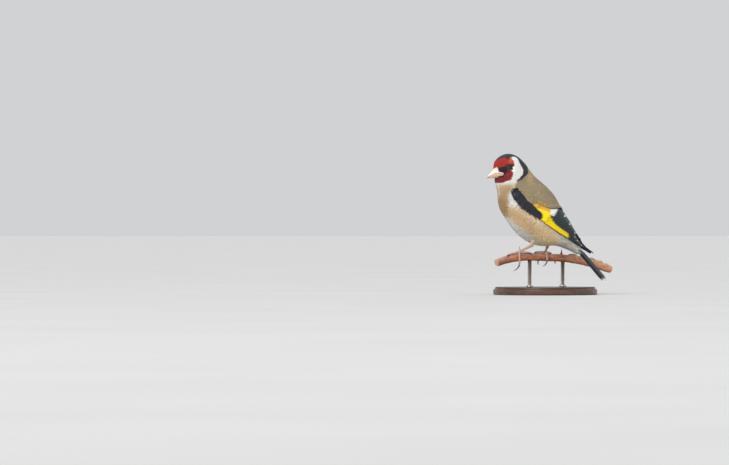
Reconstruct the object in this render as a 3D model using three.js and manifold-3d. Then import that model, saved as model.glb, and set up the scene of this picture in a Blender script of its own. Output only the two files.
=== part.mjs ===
// European goldfinch, life size, standing on a short cut length of thorny branch that a
// plain display stand holds up. Millimetres, +Z up, origin at the centre of the stand's underside.
// The bird looks towards -X and shows its left side to -Y.
import * as THREE from 'three';
import { mergeVertices } from 'three/addons/utils/BufferGeometryUtils.js';
import Module from 'manifold-3d';

const wasm = await Module();
wasm.setup();

// Driving sizes of the whole
const GAP = 0.3;
const MERGE_LENGTH = 0.05;
const BODY_YAW = THREE.MathUtils.degToRad(10.5);
const HEAD_TURN = THREE.MathUtils.degToRad(17);
const NECK_AXIS_S = -17;

// Body stations from the bill to the tail, in the plane of the body's middle:
// back (s, z), belly (s, z), half width, and how far the widest level leans to the back
const STATIONS = [
  [-40.9, 96.8, -40.1, 92.2, 2.2, 0],
  [-41.7, 99.8, -40.2, 90.2, 3.5, 0],
  [-41.6, 102.8, -40.4, 88.5, 4.7, -0.05],
  [-38.7, 105.5, -40.5, 87.0, 6.0, -0.1],
  [-35.5, 107.3, -40.3, 85.6, 7.5, -0.12],
  [-31.5, 108.3, -39.8, 84.2, 8.8, -0.12],
  [-27.1, 108.0, -39.2, 82.6, 9.8, -0.12],
  [-22.9, 106.3, -38.8, 80.9, 10.4, -0.1],
  [-19.0, 103.4, -38.3, 78.9, 10.8, -0.08],
  [-15.4, 99.7, -37.8, 76.7, 11.5, -0.05],
  [-12.0, 95.3, -37.4, 74.2, 12.6, 0],
  [-8.4, 91.0, -37.0, 71.4, 14.1, 0],
  [-3.9, 87.2, -36.2, 68.4, 15.5, 0],
  [0.9, 83.0, -35.0, 65.0, 16.4, 0],
  [5.7, 78.1, -32.8, 61.2, 16.9, 0],
  [9.4, 72.3, -29.8, 56.8, 17.0, 0],
  [12.3, 66.0, -26.0, 51.4, 16.6, 0],
  [14.6, 59.4, -21.2, 46.2, 15.5, 0],
  [17.4, 53.2, -15.2, 41.8, 13.8, 0],
  [20.2, 47.8, -8.2, 38.4, 11.6, 0],
  [22.8, 43.2, -0.6, 37.4, 9.3, 0],
  [25.4, 39.4, 8.0, 37.8, 7.2, 0],
  [28.0, 36.0, 17.2, 34.8, 5.2, 0],
  [31.0, 32.6, 26.4, 30.4, 3.2, 0],
];
const TURN_ENDS = [7, 13];
const HEAD_END = 7.6;
const NECK_END = 9.8;
const CUT = 0.16;
const TAIL_END = STATIONS.length - 1;
const BODY_SIDES = 24;

// Head features, in the head's own middle plane before it turns
const EYE = { s: -34.4, y: 6.9, z: 97.5, radius: 2.7, lidRadius: 2.15, lidTube: 0.45 };
const BILL = {
  culmen: [[-39.8, 98.6], [-46.0, 95.4], [-49.6, 89.4]],
  tomium: [[-36.6, 91.3], [-41.2, 96.2], [-49.2, 89.6]],
  gonys: [[-37.2, 90.0], [-42.8, 89.6], [-48.1, 89.5]],
  halfWidth: 4.9,
  taper: 0.9,
};
const NOSTRIL = { s: -41.9, y: 2.4, z: 95.4, radius: 0.45 };

// Hollow of the face at the corner of the gape: its height, how far it reaches up and down,
// its share of the half width, and the stations between which it fades out
const GAPE_HOLLOW = { z: 92.3, reach: 2.5, depth: 0.64, from: 3.4, to: 7.4 };

// Folded wing, measured along its own axis from the shoulder (along) and across it (up)
const WING_AXIS = new THREE.Vector2(0.79, -0.613);
const WING_ORIGIN_Z = 80;
const WING_CENTRE = [
  [-23, -23.6], [-8, -24.5], [5, -24.3], [17, -23], [30, -21], [38, -20], [50, -19], [62, -18.2],
];
const WING_BACK = [[-23, 4], [-8, 3.5], [5, 1.6], [17, -2.6], [30, -5.8], [38, -9], [50, -13], [62, -13.4]];
const WING_HALF = [[-23, 13.4], [-8, 17.3], [5, 18.2], [17, 17], [30, 13.2], [38, 10.2], [50, 6], [62, 3.6]];
const WING_LOW = [
  [-23, -18.2], [-20, -21.5], [-12, -24], [-3, -23.6], [8, -22], [20, -21.3], [37, -18.8], [50, -17],
];
const WING_UP = [
  [-23, -14.8], [-20, -13.8], [-12, -13.6], [-2, -13], [8, -10.6],
  [14, -6], [18, -3.6], [30, -6.4], [38, -9.8], [50, -16],
];
const WING_FRONT = -23;
const WING_SPAN = 73;
const WINGS = [
  { name: 'left', side: -1, front: -21.8, tip: 50, lift: 0 },
  { name: 'right', side: 1, front: -20, tip: 60.5, lift: 2.4 },
];

// The wing's solid: its thickness at the shoulder and tip, the room that the trunk leaves for it, and
// where its core ends. From there on each vane is this thick, lies over the next one by the lap, and
// dives under it no deeper than the deepest lap
const WING_THICK = [3.1, 2.1];
const WING_ROOM = 0.75;
const WING_CORE_END = 15;
const WING_CORE_FROM_FACE = 1.3;
const VANE_THICK = 0.5;
const VANE_LAP = 0.8;
const DEEPEST_LAP = 1.5;
const FLIGHT_ROOT = -2;
const FLIGHT_FREE = 18;

// Flight feathers from the topmost tertial down to the outermost primary: where the lower edge runs
// across the wing at its root and tip (0 is the wing's lower edge, 1 its upper), and where the tip is
const FLIGHT_FEATHERS = [
  { root: 0.8, end: 0.74, tip: 23 },
  { root: 0.68, end: 0.66, tip: 30 },
  { root: 0.56, end: 0.6, tip: 38 },
  { root: 0.47, end: 0.5, tip: 35 },
  { root: 0.39, end: 0.44, tip: 36.5 },
  { root: 0.31, end: 0.39, tip: 38 },
  { root: 0.24, end: 0.34, tip: 39.5 },
  { root: 0.18, end: 0.29, tip: 41 },
  { root: 0.135, end: 0.23, tip: 43 },
  { root: 0.09, end: 0.16, tip: 45.5 },
  { root: 0.045, end: 0.08, tip: 48 },
  { root: 0, end: 0, tip: 50 },
];

// Coverts in tiers from the rear to the front; each tier's tips lie over the roots behind it
const COVERT_TIERS = [
  { count: 3, root: -6, tip: 9, low: 0, high: 0.32 },
  { count: 5, root: -7, tip: 11, low: 0.32, high: 0.98 },
  { count: 5, root: -14, tip: -1, low: 0.02, high: 0.94 },
  { count: 4, root: -20, tip: -9, low: 0.06, high: 0.94 },
];
const COVERT_DEPTH = [1.3, -0.4];

// Tail, a fan from its root inside the rump to its notched end, arched across like a low roof
const TAIL = {
  root: [14, 50.2],
  tip: [47.8, 11.7],
  length: 50,
  rootHalf: 3.2,
  tipHalf: 7.5,
  thick: 2.2,
  notch: 2.6,
  arch: 2.8,
  pairs: 6,
  coreEnd: 0.3,
};

// Branch: height of its centre line along X; it leans away from the viewer as X grows
const BRANCH_LINE = [
  [-46.2, 21.4], [-31.1, 26.8], [-17.4, 29.0], [-0.2, 28.8],
  [18.6, 27.6], [35.7, 24.2], [50, 19.8], [61.4, 16.5],
];
const BRANCH_RADIUS = 2.95;
const BRANCH_FROM = -38;
const BRANCH_TO = 52;
const BRANCH_PLAN = { x: 0.2, y: 4.1, slope: 0.552 };
const THORNS = [
  { x: -18.2, angle: -30, length: 7.0, radius: 0.6, lean: 0.15 },
  { x: 12.6, angle: 8, length: 4.6, radius: 0.75, lean: -0.05 },
  { x: 31.0, angle: -14, length: 3.8, radius: 0.9, lean: -0.1 },
  { x: 8.0, angle: 160, length: 2.4, radius: 0.9, lean: -0.4 },
];

// Legs and feet. A toe is a list of (along the branch, angle round it, lift off it)
const TARSUS_RADIUS = 0.85;
const TOE_RADIUS = 0.8;
const KNUCKLE_RADIUS = 1.25;
const LEGS = [
  {
    name: 'left',
    footX: -20.2,
    heel: { s: -11.8, y: -5.2, z: 38.0 },
    toes: [
      [[0, 0, 0.4], [-3, 12, 0], [-6, 20, 0], [-8.2, 26, 0]],
      [[0, 10, 0.4], [-1.0, 45, 0], [-1.8, 85, 0], [-2.3, 115, 1.2], [-3.0, 138, 3.2]],
      [[0, -10, 0.4], [-2.6, -36, 0], [-4.6, -66, 0], [-5.6, -96, 0]],
      [[0, 4, 0.4], [2.5, 20, 0], [5, 26, 0], [6.6, 34, 0]],
    ],
    claws: [
      [[-8.8, 28, 0], [-10, 44, 0.5], [-10.6, 68, 0.4]],
      [[-3.4, 146, 4.2], [-5.4, 156, 5.6], [-7.6, 164, 6.0]],
      [[-5.8, -108, 0], [-6.4, -126, 0.4], [-6.6, -146, 0.3]],
      [[7.1, 39, 0], [7.9, 54, 0.5], [8.1, 74, 0.4]],
    ],
  },
  {
    name: 'right',
    footX: 0.2,
    heel: { s: 3.0, y: 5.2, z: 37.0 },
    toes: [
      [[0, 0, 0.4], [-3.4, 8, 0], [-6, 12, 0], [-8, 20, 0]],
      [[0, 10, 0.4], [-0.4, 45, 0], [-0.5, 85, 0], [-0.7, 122, 1.1]],
      [[0, -10, 0.4], [-1.0, -50, 0], [-2.2, -95, 0], [-3.6, -132, 0.3]],
      [[0, 0, 0.4], [2.5, -15, 0], [5, -30, 0], [6.4, -52, 0]],
    ],
    claws: [
      [[-8.6, 23, 0], [-9.7, 40, 0.5], [-10.2, 62, 0.4]],
      [[-0.9, 133, 2.0], [-1.9, 150, 3.3], [-3.4, 164, 3.7]],
      [[-4.1, -144, 0.7], [-4.7, -162, 1.7], [-4.6, -178, 2.6]],
      [[6.8, -64, 0], [7.4, -82, 0.4], [7.5, -102, 0.3]],
    ],
  },
];

// Display stand
const BASE = { radius: 40, height: 6, chamfer: 0.8 };
const ROD_RADIUS = 1.5;
const ROD_X = [-12, 14];

const COLOURS = {
  red: 0xaa413c,
  breast: 0xb59c74,
  mantle: 0x9b876a,
  bill: 0xe8d3bf,
  eye: 0x140f0c,
  wing: 0x20242a,
  tail: 0x3a4450,
  thigh: 0xd9c6a4,
  leg: 0xb98c76,
  claw: 0x4a3c36,
  bark: 0xa0552f,
  base: 0x3c2a20,
  rod: 0xa8a49c,
};

const goldfinch = new THREE.Group();
goldfinch.name = 'european_goldfinch';

function addPart(name, geometry, color, roughness = 0.8, metalness = 0) {
  const material = new THREE.MeshStandardMaterial({ color, roughness, metalness });
  const part = new THREE.Mesh(geometry, material);
  part.name = name;
  goldfinch.add(part);
}

// Catmull-Rom value through rows of numbers at a fractional row number
function alongRows(rows, u) {
  const last = rows.length - 1;
  const place = THREE.MathUtils.clamp(u, 0, last);
  const i = Math.min(Math.floor(place), last - 1);
  const f = place - i;
  const [p0, p1, p2, p3] = [Math.max(i - 1, 0), i, i + 1, Math.min(i + 2, last)].map((k) => rows[k]);
  return p1.map((value, k) => {
    const linear = (p2[k] - p0[k]) * f;
    const square = (2 * p0[k] - 5 * value + 4 * p2[k] - p3[k]) * f * f;
    const cube = (3 * value - p0[k] - 3 * p2[k] + p3[k]) * f * f * f;
    return 0.5 * (2 * value + linear + square + cube);
  });
}

// Smooth value at x of a curve through (place, value) pairs
function alongPairs(pairs, x) {
  const last = pairs.length - 1;
  let i = 0;
  while (i < last - 1 && x > pairs[i + 1][0]) i += 1;
  const f = THREE.MathUtils.clamp((x - pairs[i][0]) / (pairs[i + 1][0] - pairs[i][0]), 0, 1);
  const span = pairs[i + 1][0] - pairs[i][0];
  const slope = (a, b) => (pairs[b][1] - pairs[a][1]) / (pairs[b][0] - pairs[a][0]);
  const m0 = (i > 0 ? slope(i - 1, i + 1) : slope(i, i + 1)) * span;
  const m1 = (i + 2 <= last ? slope(i, i + 2) : slope(i, i + 1)) * span;
  const f2 = f * f;
  const f3 = f2 * f;
  const ends = (2 * f3 - 3 * f2 + 1) * pairs[i][1] + (3 * f2 - 2 * f3) * pairs[i + 1][1];
  return ends + (f3 - 2 * f2 + f) * m0 + (f3 - f2) * m1;
}

// A point of the bird (s to the tail, y to its right, z up) placed in the model's frame
function birdPoint(s, y, z, turn = 0) {
  const s1 = NECK_AXIS_S + (s - NECK_AXIS_S) * Math.cos(turn) - y * Math.sin(turn);
  const y1 = (s - NECK_AXIS_S) * Math.sin(turn) + y * Math.cos(turn);
  return new THREE.Vector3(
    s1 * Math.cos(BODY_YAW) - y1 * Math.sin(BODY_YAW),
    s1 * Math.sin(BODY_YAW) + y1 * Math.cos(BODY_YAW),
    z,
  );
}

function headPoint(s, y, z) {
  return birdPoint(s, y, z, HEAD_TURN);
}

function turnAt(u) {
  return HEAD_TURN * (1 - THREE.MathUtils.smoothstep(u, TURN_ENDS[0], TURN_ENDS[1]));
}

// Point of the body's skin: u runs over the stations, t round the ring from the back
function bodyPoint(u, t) {
  const [ds, dz, vs, vz, half, lean] = alongRows(STATIONS, u);
  const c = Math.cos(t) + lean * Math.sin(t) ** 2;
  const s = (ds + vs) / 2 + ((ds - vs) / 2) * c;
  const z = (dz + vz) / 2 + ((dz - vz) / 2) * c;
  const fade = 1 - THREE.MathUtils.smoothstep(u, GAPE_HOLLOW.from, GAPE_HOLLOW.to);
  const hollow = GAPE_HOLLOW.depth * fade * Math.exp(-(((z - GAPE_HOLLOW.z) / GAPE_HOLLOW.reach) ** 2));
  return birdPoint(s, half * (1 - hollow) * Math.sin(t), z, turnAt(u));
}

function ringPoints(count, pointAt) {
  return Array.from({ length: count }, (_, i) => pointAt((i / count) * Math.PI * 2));
}

// Turns a closed triangle mesh so that its faces point outwards
function facingOut(positions, index) {
  let volume = 0;
  const [a, b, c] = [new THREE.Vector3(), new THREE.Vector3(), new THREE.Vector3()];
  for (let i = 0; i < index.length; i += 3) {
    a.fromArray(positions, index[i] * 3);
    b.fromArray(positions, index[i + 1] * 3);
    c.fromArray(positions, index[i + 2] * 3);
    volume += a.dot(b.cross(c));
  }
  if (volume < 0) {
    for (let i = 0; i < index.length; i += 3) {
      [index[i + 1], index[i + 2]] = [index[i + 2], index[i + 1]];
    }
  }
  const geometry = new THREE.BufferGeometry();
  geometry.setAttribute('position', new THREE.Float32BufferAttribute(positions, 3));
  geometry.setIndex(index);
  return geometry;
}

// Closed loft through rings of equally many points, each end closed by a fan
function loft(rings) {
  const sides = rings[0].length;
  const positions = rings.flat().flatMap((p) => [p.x, p.y, p.z]);
  const index = [];
  for (let r = 0; r < rings.length - 1; r += 1) {
    for (let i = 0; i < sides; i += 1) {
      const [a, b] = [r * sides + i, r * sides + ((i + 1) % sides)];
      index.push(a, b, a + sides, b, b + sides, a + sides);
    }
  }
  const ends = [[rings[0], 0, true], [rings.at(-1), (rings.length - 1) * sides, false]];
  for (const [ring, start, flip] of ends) {
    const centre = ring.reduce((sum, p) => sum.add(p), new THREE.Vector3()).divideScalar(sides);
    const hub = positions.length / 3;
    positions.push(centre.x, centre.y, centre.z);
    for (let i = 0; i < sides; i += 1) {
      const [a, b] = [start + i, start + ((i + 1) % sides)];
      index.push(...(flip ? [b, a, hub] : [a, b, hub]));
    }
  }
  return facingOut(positions, index);
}

// Closed sheet between two like grids of points, cut into triangles alike on both faces
function sheet(rows, cols, outer, inner) {
  const positions = [];
  const index = [];
  for (const face of [outer, inner]) {
    for (let r = 0; r <= rows; r += 1) {
      for (let c = 0; c <= cols; c += 1) {
        const p = face(r / rows, c / cols);
        positions.push(p.x, p.y, p.z);
      }
    }
  }
  const wide = cols + 1;
  const under = (rows + 1) * wide;
  for (let r = 0; r < rows; r += 1) {
    for (let c = 0; c < cols; c += 1) {
      const a = r * wide + c;
      index.push(a, a + 1, a + wide, a + 1, a + wide + 1, a + wide);
      const b = a + under;
      index.push(b, b + wide, b + 1, b + 1, b + wide, b + wide + 1);
    }
  }
  const edge = (a, b) => index.push(b, a, a + under, b, a + under, b + under);
  for (let c = 0; c < cols; c += 1) {
    edge(c, c + 1);
    edge(rows * wide + c + 1, rows * wide + c);
  }
  for (let r = 0; r < rows; r += 1) {
    edge((r + 1) * wide, r * wide);
    edge(r * wide + cols, (r + 1) * wide + cols);
  }
  return facingOut(positions, index);
}

// Closed tube along points, its radius given for each; both ends are rounded by a smaller ring
function tube(points, radii, sides = 7) {
  const curve = new THREE.CatmullRomCurve3(points);
  const steps = Math.max(2, (points.length - 1) * 2);
  const radiusPairs = radii.map((radius, i) => [i / (radii.length - 1), radius]);
  const frames = curve.computeFrenetFrames(steps, false);
  const rings = [];
  const ringAt = (k, radius, push) => {
    const centre = curve.getPointAt(k / steps).addScaledVector(frames.tangents[k], push);
    return ringPoints(sides, (t) => centre.clone()
      .addScaledVector(frames.normals[k], radius * Math.cos(t))
      .addScaledVector(frames.binormals[k], radius * Math.sin(t)));
  };
  const first = radii[0];
  const last = radii.at(-1);
  rings.push(ringAt(0, first * 0.6, -first * 0.35));
  for (let k = 0; k <= steps; k += 1) rings.push(ringAt(k, alongPairs(radiusPairs, k / steps), 0));
  rings.push(ringAt(steps, last * 0.6, last * 0.35));
  return loft(rings);
}

function toSolid(geometry) {
  const bare = geometry.clone();
  bare.deleteAttribute('normal');
  bare.deleteAttribute('uv');
  const merged = mergeVertices(bare, 1e-4);
  return new wasm.Manifold(new wasm.Mesh({
    numProp: 3,
    vertProperties: Float32Array.from(merged.attributes.position.array),
    triVerts: Uint32Array.from(merged.index.array),
  }));
}

// The largest closed surface of a solid, as a geometry
function toGeometry(solid) {
  const pieces = solid.simplify(MERGE_LENGTH).decompose();
  const largest = pieces.reduce((a, b) => (a.volume() > b.volume() ? a : b));
  const mesh = largest.getMesh();
  const geometry = new THREE.BufferGeometry();
  geometry.setAttribute('position', new THREE.BufferAttribute(Float32Array.from(mesh.vertProperties), 3));
  geometry.setIndex(new THREE.BufferAttribute(Uint32Array.from(mesh.triVerts), 1));
  return geometry;
}

function bodyLoft(from, to, step) {
  const count = Math.max(2, Math.round((to - from) / step));
  const rings = [];
  for (let i = 0; i <= count; i += 1) {
    const u = from + ((to - from) * i) / count;
    rings.push(ringPoints(BODY_SIDES, (t) => bodyPoint(u, t)));
  }
  return loft(rings);
}

function ball(centre, radius, detail = 8) {
  const geometry = new THREE.SphereGeometry(radius, detail * 2, detail);
  geometry.translate(centre.x, centre.y, centre.z);
  return geometry;
}

// Bill: one mandible between an upper and a lower edge line, rounded towards the outside
function mandible(upper, lower, crest, grow) {
  const line = (points) => {
    const stops = points.map(([s, z]) => new THREE.Vector2(s, z));
    return new THREE.QuadraticBezierCurve(...stops);
  };
  const [topLine, lowLine] = [line(upper), line(lower)];
  const steps = 9;
  const rings = [];
  for (let i = 0; i <= steps; i += 1) {
    const f = (i / steps) * 0.97;
    const top = topLine.getPoint(f);
    const low = lowLine.getPoint(f);
    const half = BILL.halfWidth * (1 - f) ** BILL.taper + grow;
    const middle = top.clone().add(low).multiplyScalar(0.5);
    const reach = top.clone().sub(low).multiplyScalar(0.5);
    const extra = reach.clone().setLength(grow);
    rings.push(ringPoints(14, (t) => {
      const bow = Math.cos(t) - crest * 0.75 * Math.sin(t) ** 2;
      const [s, z] = [0, 1].map((k) => middle.getComponent(k) + reach.getComponent(k) * bow
        + extra.getComponent(k) * Math.cos(t));
      return headPoint(s, half * Math.sin(t), z);
    }));
  }
  return loft(rings);
}

function tomiumWithGap(shift) {
  return BILL.tomium.map(([s, z]) => [s, z + shift]);
}

function makeHead() {
  const upper = mandible(BILL.culmen, tomiumWithGap(GAP / 2), 1, 0);
  const lower = mandible(tomiumWithGap(-GAP / 2), BILL.gonys, -1, 0);
  let head = toSolid(bodyLoft(0, HEAD_END, 0.5));
  for (const side of [-1, 1]) {
    const lid = new THREE.TorusGeometry(EYE.lidRadius, EYE.lidTube, 6, 16);
    lid.rotateX(Math.PI / 2);
    lid.rotateZ(HEAD_TURN + BODY_YAW);
    const lidPlane = headPoint(EYE.s, side * (EYE.y + 2.15), EYE.z);
    lid.translate(lidPlane.x, lidPlane.y, lidPlane.z);
    const centre = headPoint(EYE.s, side * EYE.y, EYE.z);
    head = head.add(toSolid(lid)).subtract(toSolid(ball(centre, EYE.radius + GAP)));
    addPart(side < 0 ? 'eye_left' : 'eye_right', ball(centre, EYE.radius), COLOURS.eye, 0.1);
  }
  head = head.subtract(toSolid(mandible(BILL.culmen, tomiumWithGap(GAP / 2), 1, GAP)));
  head = head.subtract(toSolid(mandible(tomiumWithGap(-GAP / 2), BILL.gonys, -1, GAP)));
  addPart('head', toGeometry(head), COLOURS.red);

  let upperSolid = toSolid(upper);
  for (const side of [-1, 1]) {
    const centre = headPoint(NOSTRIL.s, side * NOSTRIL.y, NOSTRIL.z);
    upperSolid = upperSolid.subtract(toSolid(ball(centre, NOSTRIL.radius, 5)));
  }
  addPart('bill_upper', toGeometry(upperSolid), COLOURS.bill, 0.4);
  addPart('bill_lower', lower, COLOURS.bill, 0.4);
}

// Point of the folded wing's surface: along its axis, across it (up), and in from its face
function wingPoint(wing, along, up, depth) {
  const centre = alongPairs(WING_CENTRE, along);
  const height = alongPairs(WING_BACK, along) - centre;
  const half = alongPairs(WING_HALF, along);
  const sine = THREE.MathUtils.clamp((up - centre) / height, -0.45, 0.985);
  const cosine = Math.sqrt(1 - sine * sine);
  const across = centre + (height - depth) * sine;
  const s = WING_AXIS.x * along - WING_AXIS.y * across;
  const z = WING_ORIGIN_Z + WING_AXIS.y * along + WING_AXIS.x * across;
  return birdPoint(s, wing.side * (half - depth) * cosine, z);
}

// The wing's outline is drawn once and stretched to each wing's own front and tip
function wingEdges(wing, along) {
  const f = (along - wing.front) / (wing.tip - wing.front);
  const drawn = WING_FRONT + f * WING_SPAN;
  const lift = wing.lift * THREE.MathUtils.smoothstep(f, 0.6, 1);
  return [alongPairs(WING_LOW, drawn) + lift, alongPairs(WING_UP, drawn) + lift];
}

function wingThickness(wing, along) {
  const f = (along - wing.front) / (wing.tip - wing.front);
  return THREE.MathUtils.lerp(WING_THICK[0], WING_THICK[1], THREE.MathUtils.clamp(f, 0, 1));
}

// Slab of the wing between two depths, from its front to a place along it
function wingSlab(wing, end, out, into, grow, rows) {
  const face = (depthAt) => (r, c) => {
    const along = THREE.MathUtils.lerp(wing.front - grow, end + grow, r);
    const [low, up] = wingEdges(wing, THREE.MathUtils.clamp(along, wing.front, wing.tip));
    return wingPoint(wing, along, THREE.MathUtils.lerp(low - grow, up + grow, c), depthAt(along));
  };
  return sheet(rows, 5, face(() => out), face((along) => wingThickness(wing, along) + into));
}

// A drawn place along the wing, on this wing
function wingPlace(wing, drawn) {
  return wing.front + ((drawn - WING_FRONT) / WING_SPAN) * (wing.tip - wing.front);
}

// Half width of a vane with a rounded tip, as a share of its full half width
function roundedTip(r, from) {
  const f = THREE.MathUtils.clamp((r - from) / (1 - from), 0, 1);
  return Math.max(Math.sqrt(1 - f * f), 0.16);
}

// How far the covered edge of a vane dives, so that it clears the neighbour that lies over it
function lapDepth(exposed) {
  return Math.min((VANE_THICK + GAP + 0.02) * (1 + VANE_LAP / exposed), DEEPEST_LAP);
}

// One vane on the wing. edgesAt gives its lower edge, its uncovered width and its depth at r
function wingVane(wing, from, to, rows, edgesAt) {
  const face = (extra) => (r, c) => {
    const along = THREE.MathUtils.lerp(from, to, r);
    const { low, exposed, depth, root } = edgesAt(along, r);
    const width = (exposed + VANE_LAP) * roundedTip(r, 0.72);
    const start = low + ((exposed + VANE_LAP) - width) / 2;
    const dive = THREE.MathUtils.lerp(0.5, lapDepth(exposed), root);
    return wingPoint(wing, along, start + width * c, depth + dive * c + extra);
  };
  return toSolid(sheet(rows, 1, face(0), face(VANE_THICK)));
}

function flightEdge(feather, drawn) {
  const f = (drawn - FLIGHT_ROOT) / (feather.tip - FLIGHT_ROOT);
  return THREE.MathUtils.lerp(feather.root, feather.end, THREE.MathUtils.clamp(f, 0, 1));
}

function flightVane(wing, k) {
  const feather = FLIGHT_FEATHERS[k];
  const from = wingPlace(wing, FLIGHT_ROOT);
  const to = wingPlace(wing, feather.tip);
  return wingVane(wing, from, to, 6, (along) => {
    const drawn = WING_FRONT + ((along - wing.front) / (wing.tip - wing.front)) * WING_SPAN;
    const [low, up] = wingEdges(wing, along);
    const edge = flightEdge(feather, drawn);
    const above = k > 0 ? flightEdge(FLIGHT_FEATHERS[k - 1], drawn) : 0.99;
    const free = THREE.MathUtils.clamp((drawn - FLIGHT_ROOT) / (FLIGHT_FREE - FLIGHT_ROOT), 0, 1);
    const exposed = Math.min((above - edge) * (up - low), (0.995 - edge) * (up - low) - VANE_LAP);
    return { low: THREE.MathUtils.lerp(low, up, edge), exposed, depth: 1.4 * (1 - free), root: free };
  });
}

function covertVanes(wing, tier) {
  const from = wingPlace(wing, tier.root);
  const to = wingPlace(wing, tier.tip);
  return Array.from({ length: tier.count }, (_, k) => wingVane(wing, from, to, 4, (along, r) => {
    const [low, up] = wingEdges(wing, along);
    const share = (tier.high - tier.low) / tier.count;
    const edge = tier.low + share * k;
    const depth = THREE.MathUtils.lerp(COVERT_DEPTH[0], COVERT_DEPTH[1], r);
    const exposed = Math.min(share * (up - low), (0.995 - edge) * (up - low) - VANE_LAP);
    return { low: THREE.MathUtils.lerp(low, up, edge), exposed, depth, root: r };
  }));
}

function wingSolid(wing) {
  let solid = toSolid(wingSlab(wing, WING_CORE_END, WING_CORE_FROM_FACE, 0, 0, 7));
  FLIGHT_FEATHERS.forEach((_, k) => {
    solid = solid.add(flightVane(wing, k));
  });
  for (const tier of COVERT_TIERS) {
    for (const vane of covertVanes(wing, tier)) solid = solid.add(vane);
  }
  return solid;
}

// The tail lies in a plane that holds its axis and the bird's side-to-side direction
function tailPoint(along, across, height) {
  const [rootS, rootZ] = TAIL.root;
  const [tipS, tipZ] = TAIL.tip;
  const axis = new THREE.Vector2(tipS - rootS, tipZ - rootZ);
  const length = axis.length();
  axis.normalize();
  const s = rootS + axis.x * along * length - axis.y * height;
  const z = rootZ + axis.y * along * length + axis.x * height;
  return birdPoint(s, across, z);
}

// Slab of the tail from its root to a share of its length, between its upper and lower face
function tailSlab(end, grow, inset, rows) {
  const start = -grow / TAIL.length;
  const face = (sign) => (r, c) => {
    const across = c * 2 - 1;
    const along = THREE.MathUtils.lerp(start, end, r);
    const half = THREE.MathUtils.lerp(TAIL.rootHalf, TAIL.tipHalf, along) + grow;
    const height = sign * (TAIL.thick / 2 + grow - inset) - across * across * TAIL.arch;
    return tailPoint(along, across * half, height);
  };
  return toSolid(sheet(rows, 6, face(1), face(-1)));
}

// One tail feather. The left one of pair 0 lies on top in the middle, over the right one, and each
// further pair lies under the one before
function tailVane(pair, side) {
  const onTop = pair === 0 && side < 0;
  const notch = (TAIL.notch / TAIL.length) * (1 - pair / (TAIL.pairs - 1)) ** 0.8;
  const face = (under) => (r, c) => {
    const along = THREE.MathUtils.lerp(0.02, 1 - notch, r);
    const half = THREE.MathUtils.lerp(TAIL.rootHalf, TAIL.tipHalf, along);
    const exposed = half / TAIL.pairs;
    const lap = onTop ? 0 : VANE_LAP;
    const width = (exposed + lap) * roundedTip(r, 0.88);
    const outer = exposed * (pair + 1) - ((exposed + lap) - width) / 2;
    const across = outer - width * c;
    const share = THREE.MathUtils.clamp(along / TAIL.coreEnd - 0.6, 0, 1);
    const dive = onTop ? 0 : THREE.MathUtils.lerp(0.5, lapDepth(exposed), share);
    const height = TAIL.thick / 2 - dive * c - under - (across / half) ** 2 * TAIL.arch;
    return tailPoint(along, side * across, height);
  };
  return toSolid(sheet(6, 1, face(0), face(VANE_THICK)));
}

function tailSolid() {
  let solid = tailSlab(TAIL.coreEnd, 0, 0.15, 3);
  for (let pair = 0; pair < TAIL.pairs; pair += 1) {
    for (const side of [-1, 1]) solid = solid.add(tailVane(pair, side));
  }
  return solid;
}

function branchPoint(x) {
  const y = BRANCH_PLAN.y + BRANCH_PLAN.slope * (x - BRANCH_PLAN.x);
  return new THREE.Vector3(x, y, alongPairs(BRANCH_LINE, x));
}

// The branch's own directions at x: along it, up, and towards the viewer
function branchFrame(x) {
  const tangent = branchPoint(x + 0.5).sub(branchPoint(x - 0.5)).normalize();
  const up = new THREE.Vector3(0, 0, 1).addScaledVector(tangent, -tangent.z).normalize();
  return { tangent, up, near: tangent.clone().cross(up) };
}

function roundBranch(x, angle, distance) {
  const { up, near } = branchFrame(x);
  return branchPoint(x)
    .addScaledVector(up, distance * Math.cos(angle))
    .addScaledVector(near, distance * Math.sin(angle));
}

function branchLoft(grow) {
  const steps = 20;
  const rings = [];
  for (let i = 0; i <= steps; i += 1) {
    const x = THREE.MathUtils.lerp(BRANCH_FROM, BRANCH_TO, i / steps);
    rings.push(ringPoints(12, (t) => roundBranch(x, t, BRANCH_RADIUS + grow)));
  }
  return loft(rings);
}

function makePerch() {
  let perch = toSolid(branchLoft(0));
  for (const thorn of THORNS) {
    const angle = THREE.MathUtils.degToRad(thorn.angle);
    const foot = roundBranch(thorn.x, angle, BRANCH_RADIUS * 0.6);
    const point = roundBranch(thorn.x + thorn.lean * thorn.length, angle, BRANCH_RADIUS + thorn.length);
    const middle = foot.clone().lerp(point, 0.55);
    perch = perch.add(toSolid(tube([foot, middle, point], [thorn.radius, thorn.radius * 0.55, 0.12], 6)));
  }
  addPart('perch', toGeometry(perch), COLOURS.bark, 0.9);
}

// Points on or near the branch's surface for a toe or a claw
function gripPoints(footX, path, radius) {
  return path.map(([dx, degrees, lift]) => {
    const distance = BRANCH_RADIUS + GAP + radius + lift;
    return roundBranch(footX + dx, THREE.MathUtils.degToRad(degrees), distance);
  });
}

function knuckleOf(leg) {
  return roundBranch(leg.footX, 0, BRANCH_RADIUS + GAP + KNUCKLE_RADIUS);
}

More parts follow.
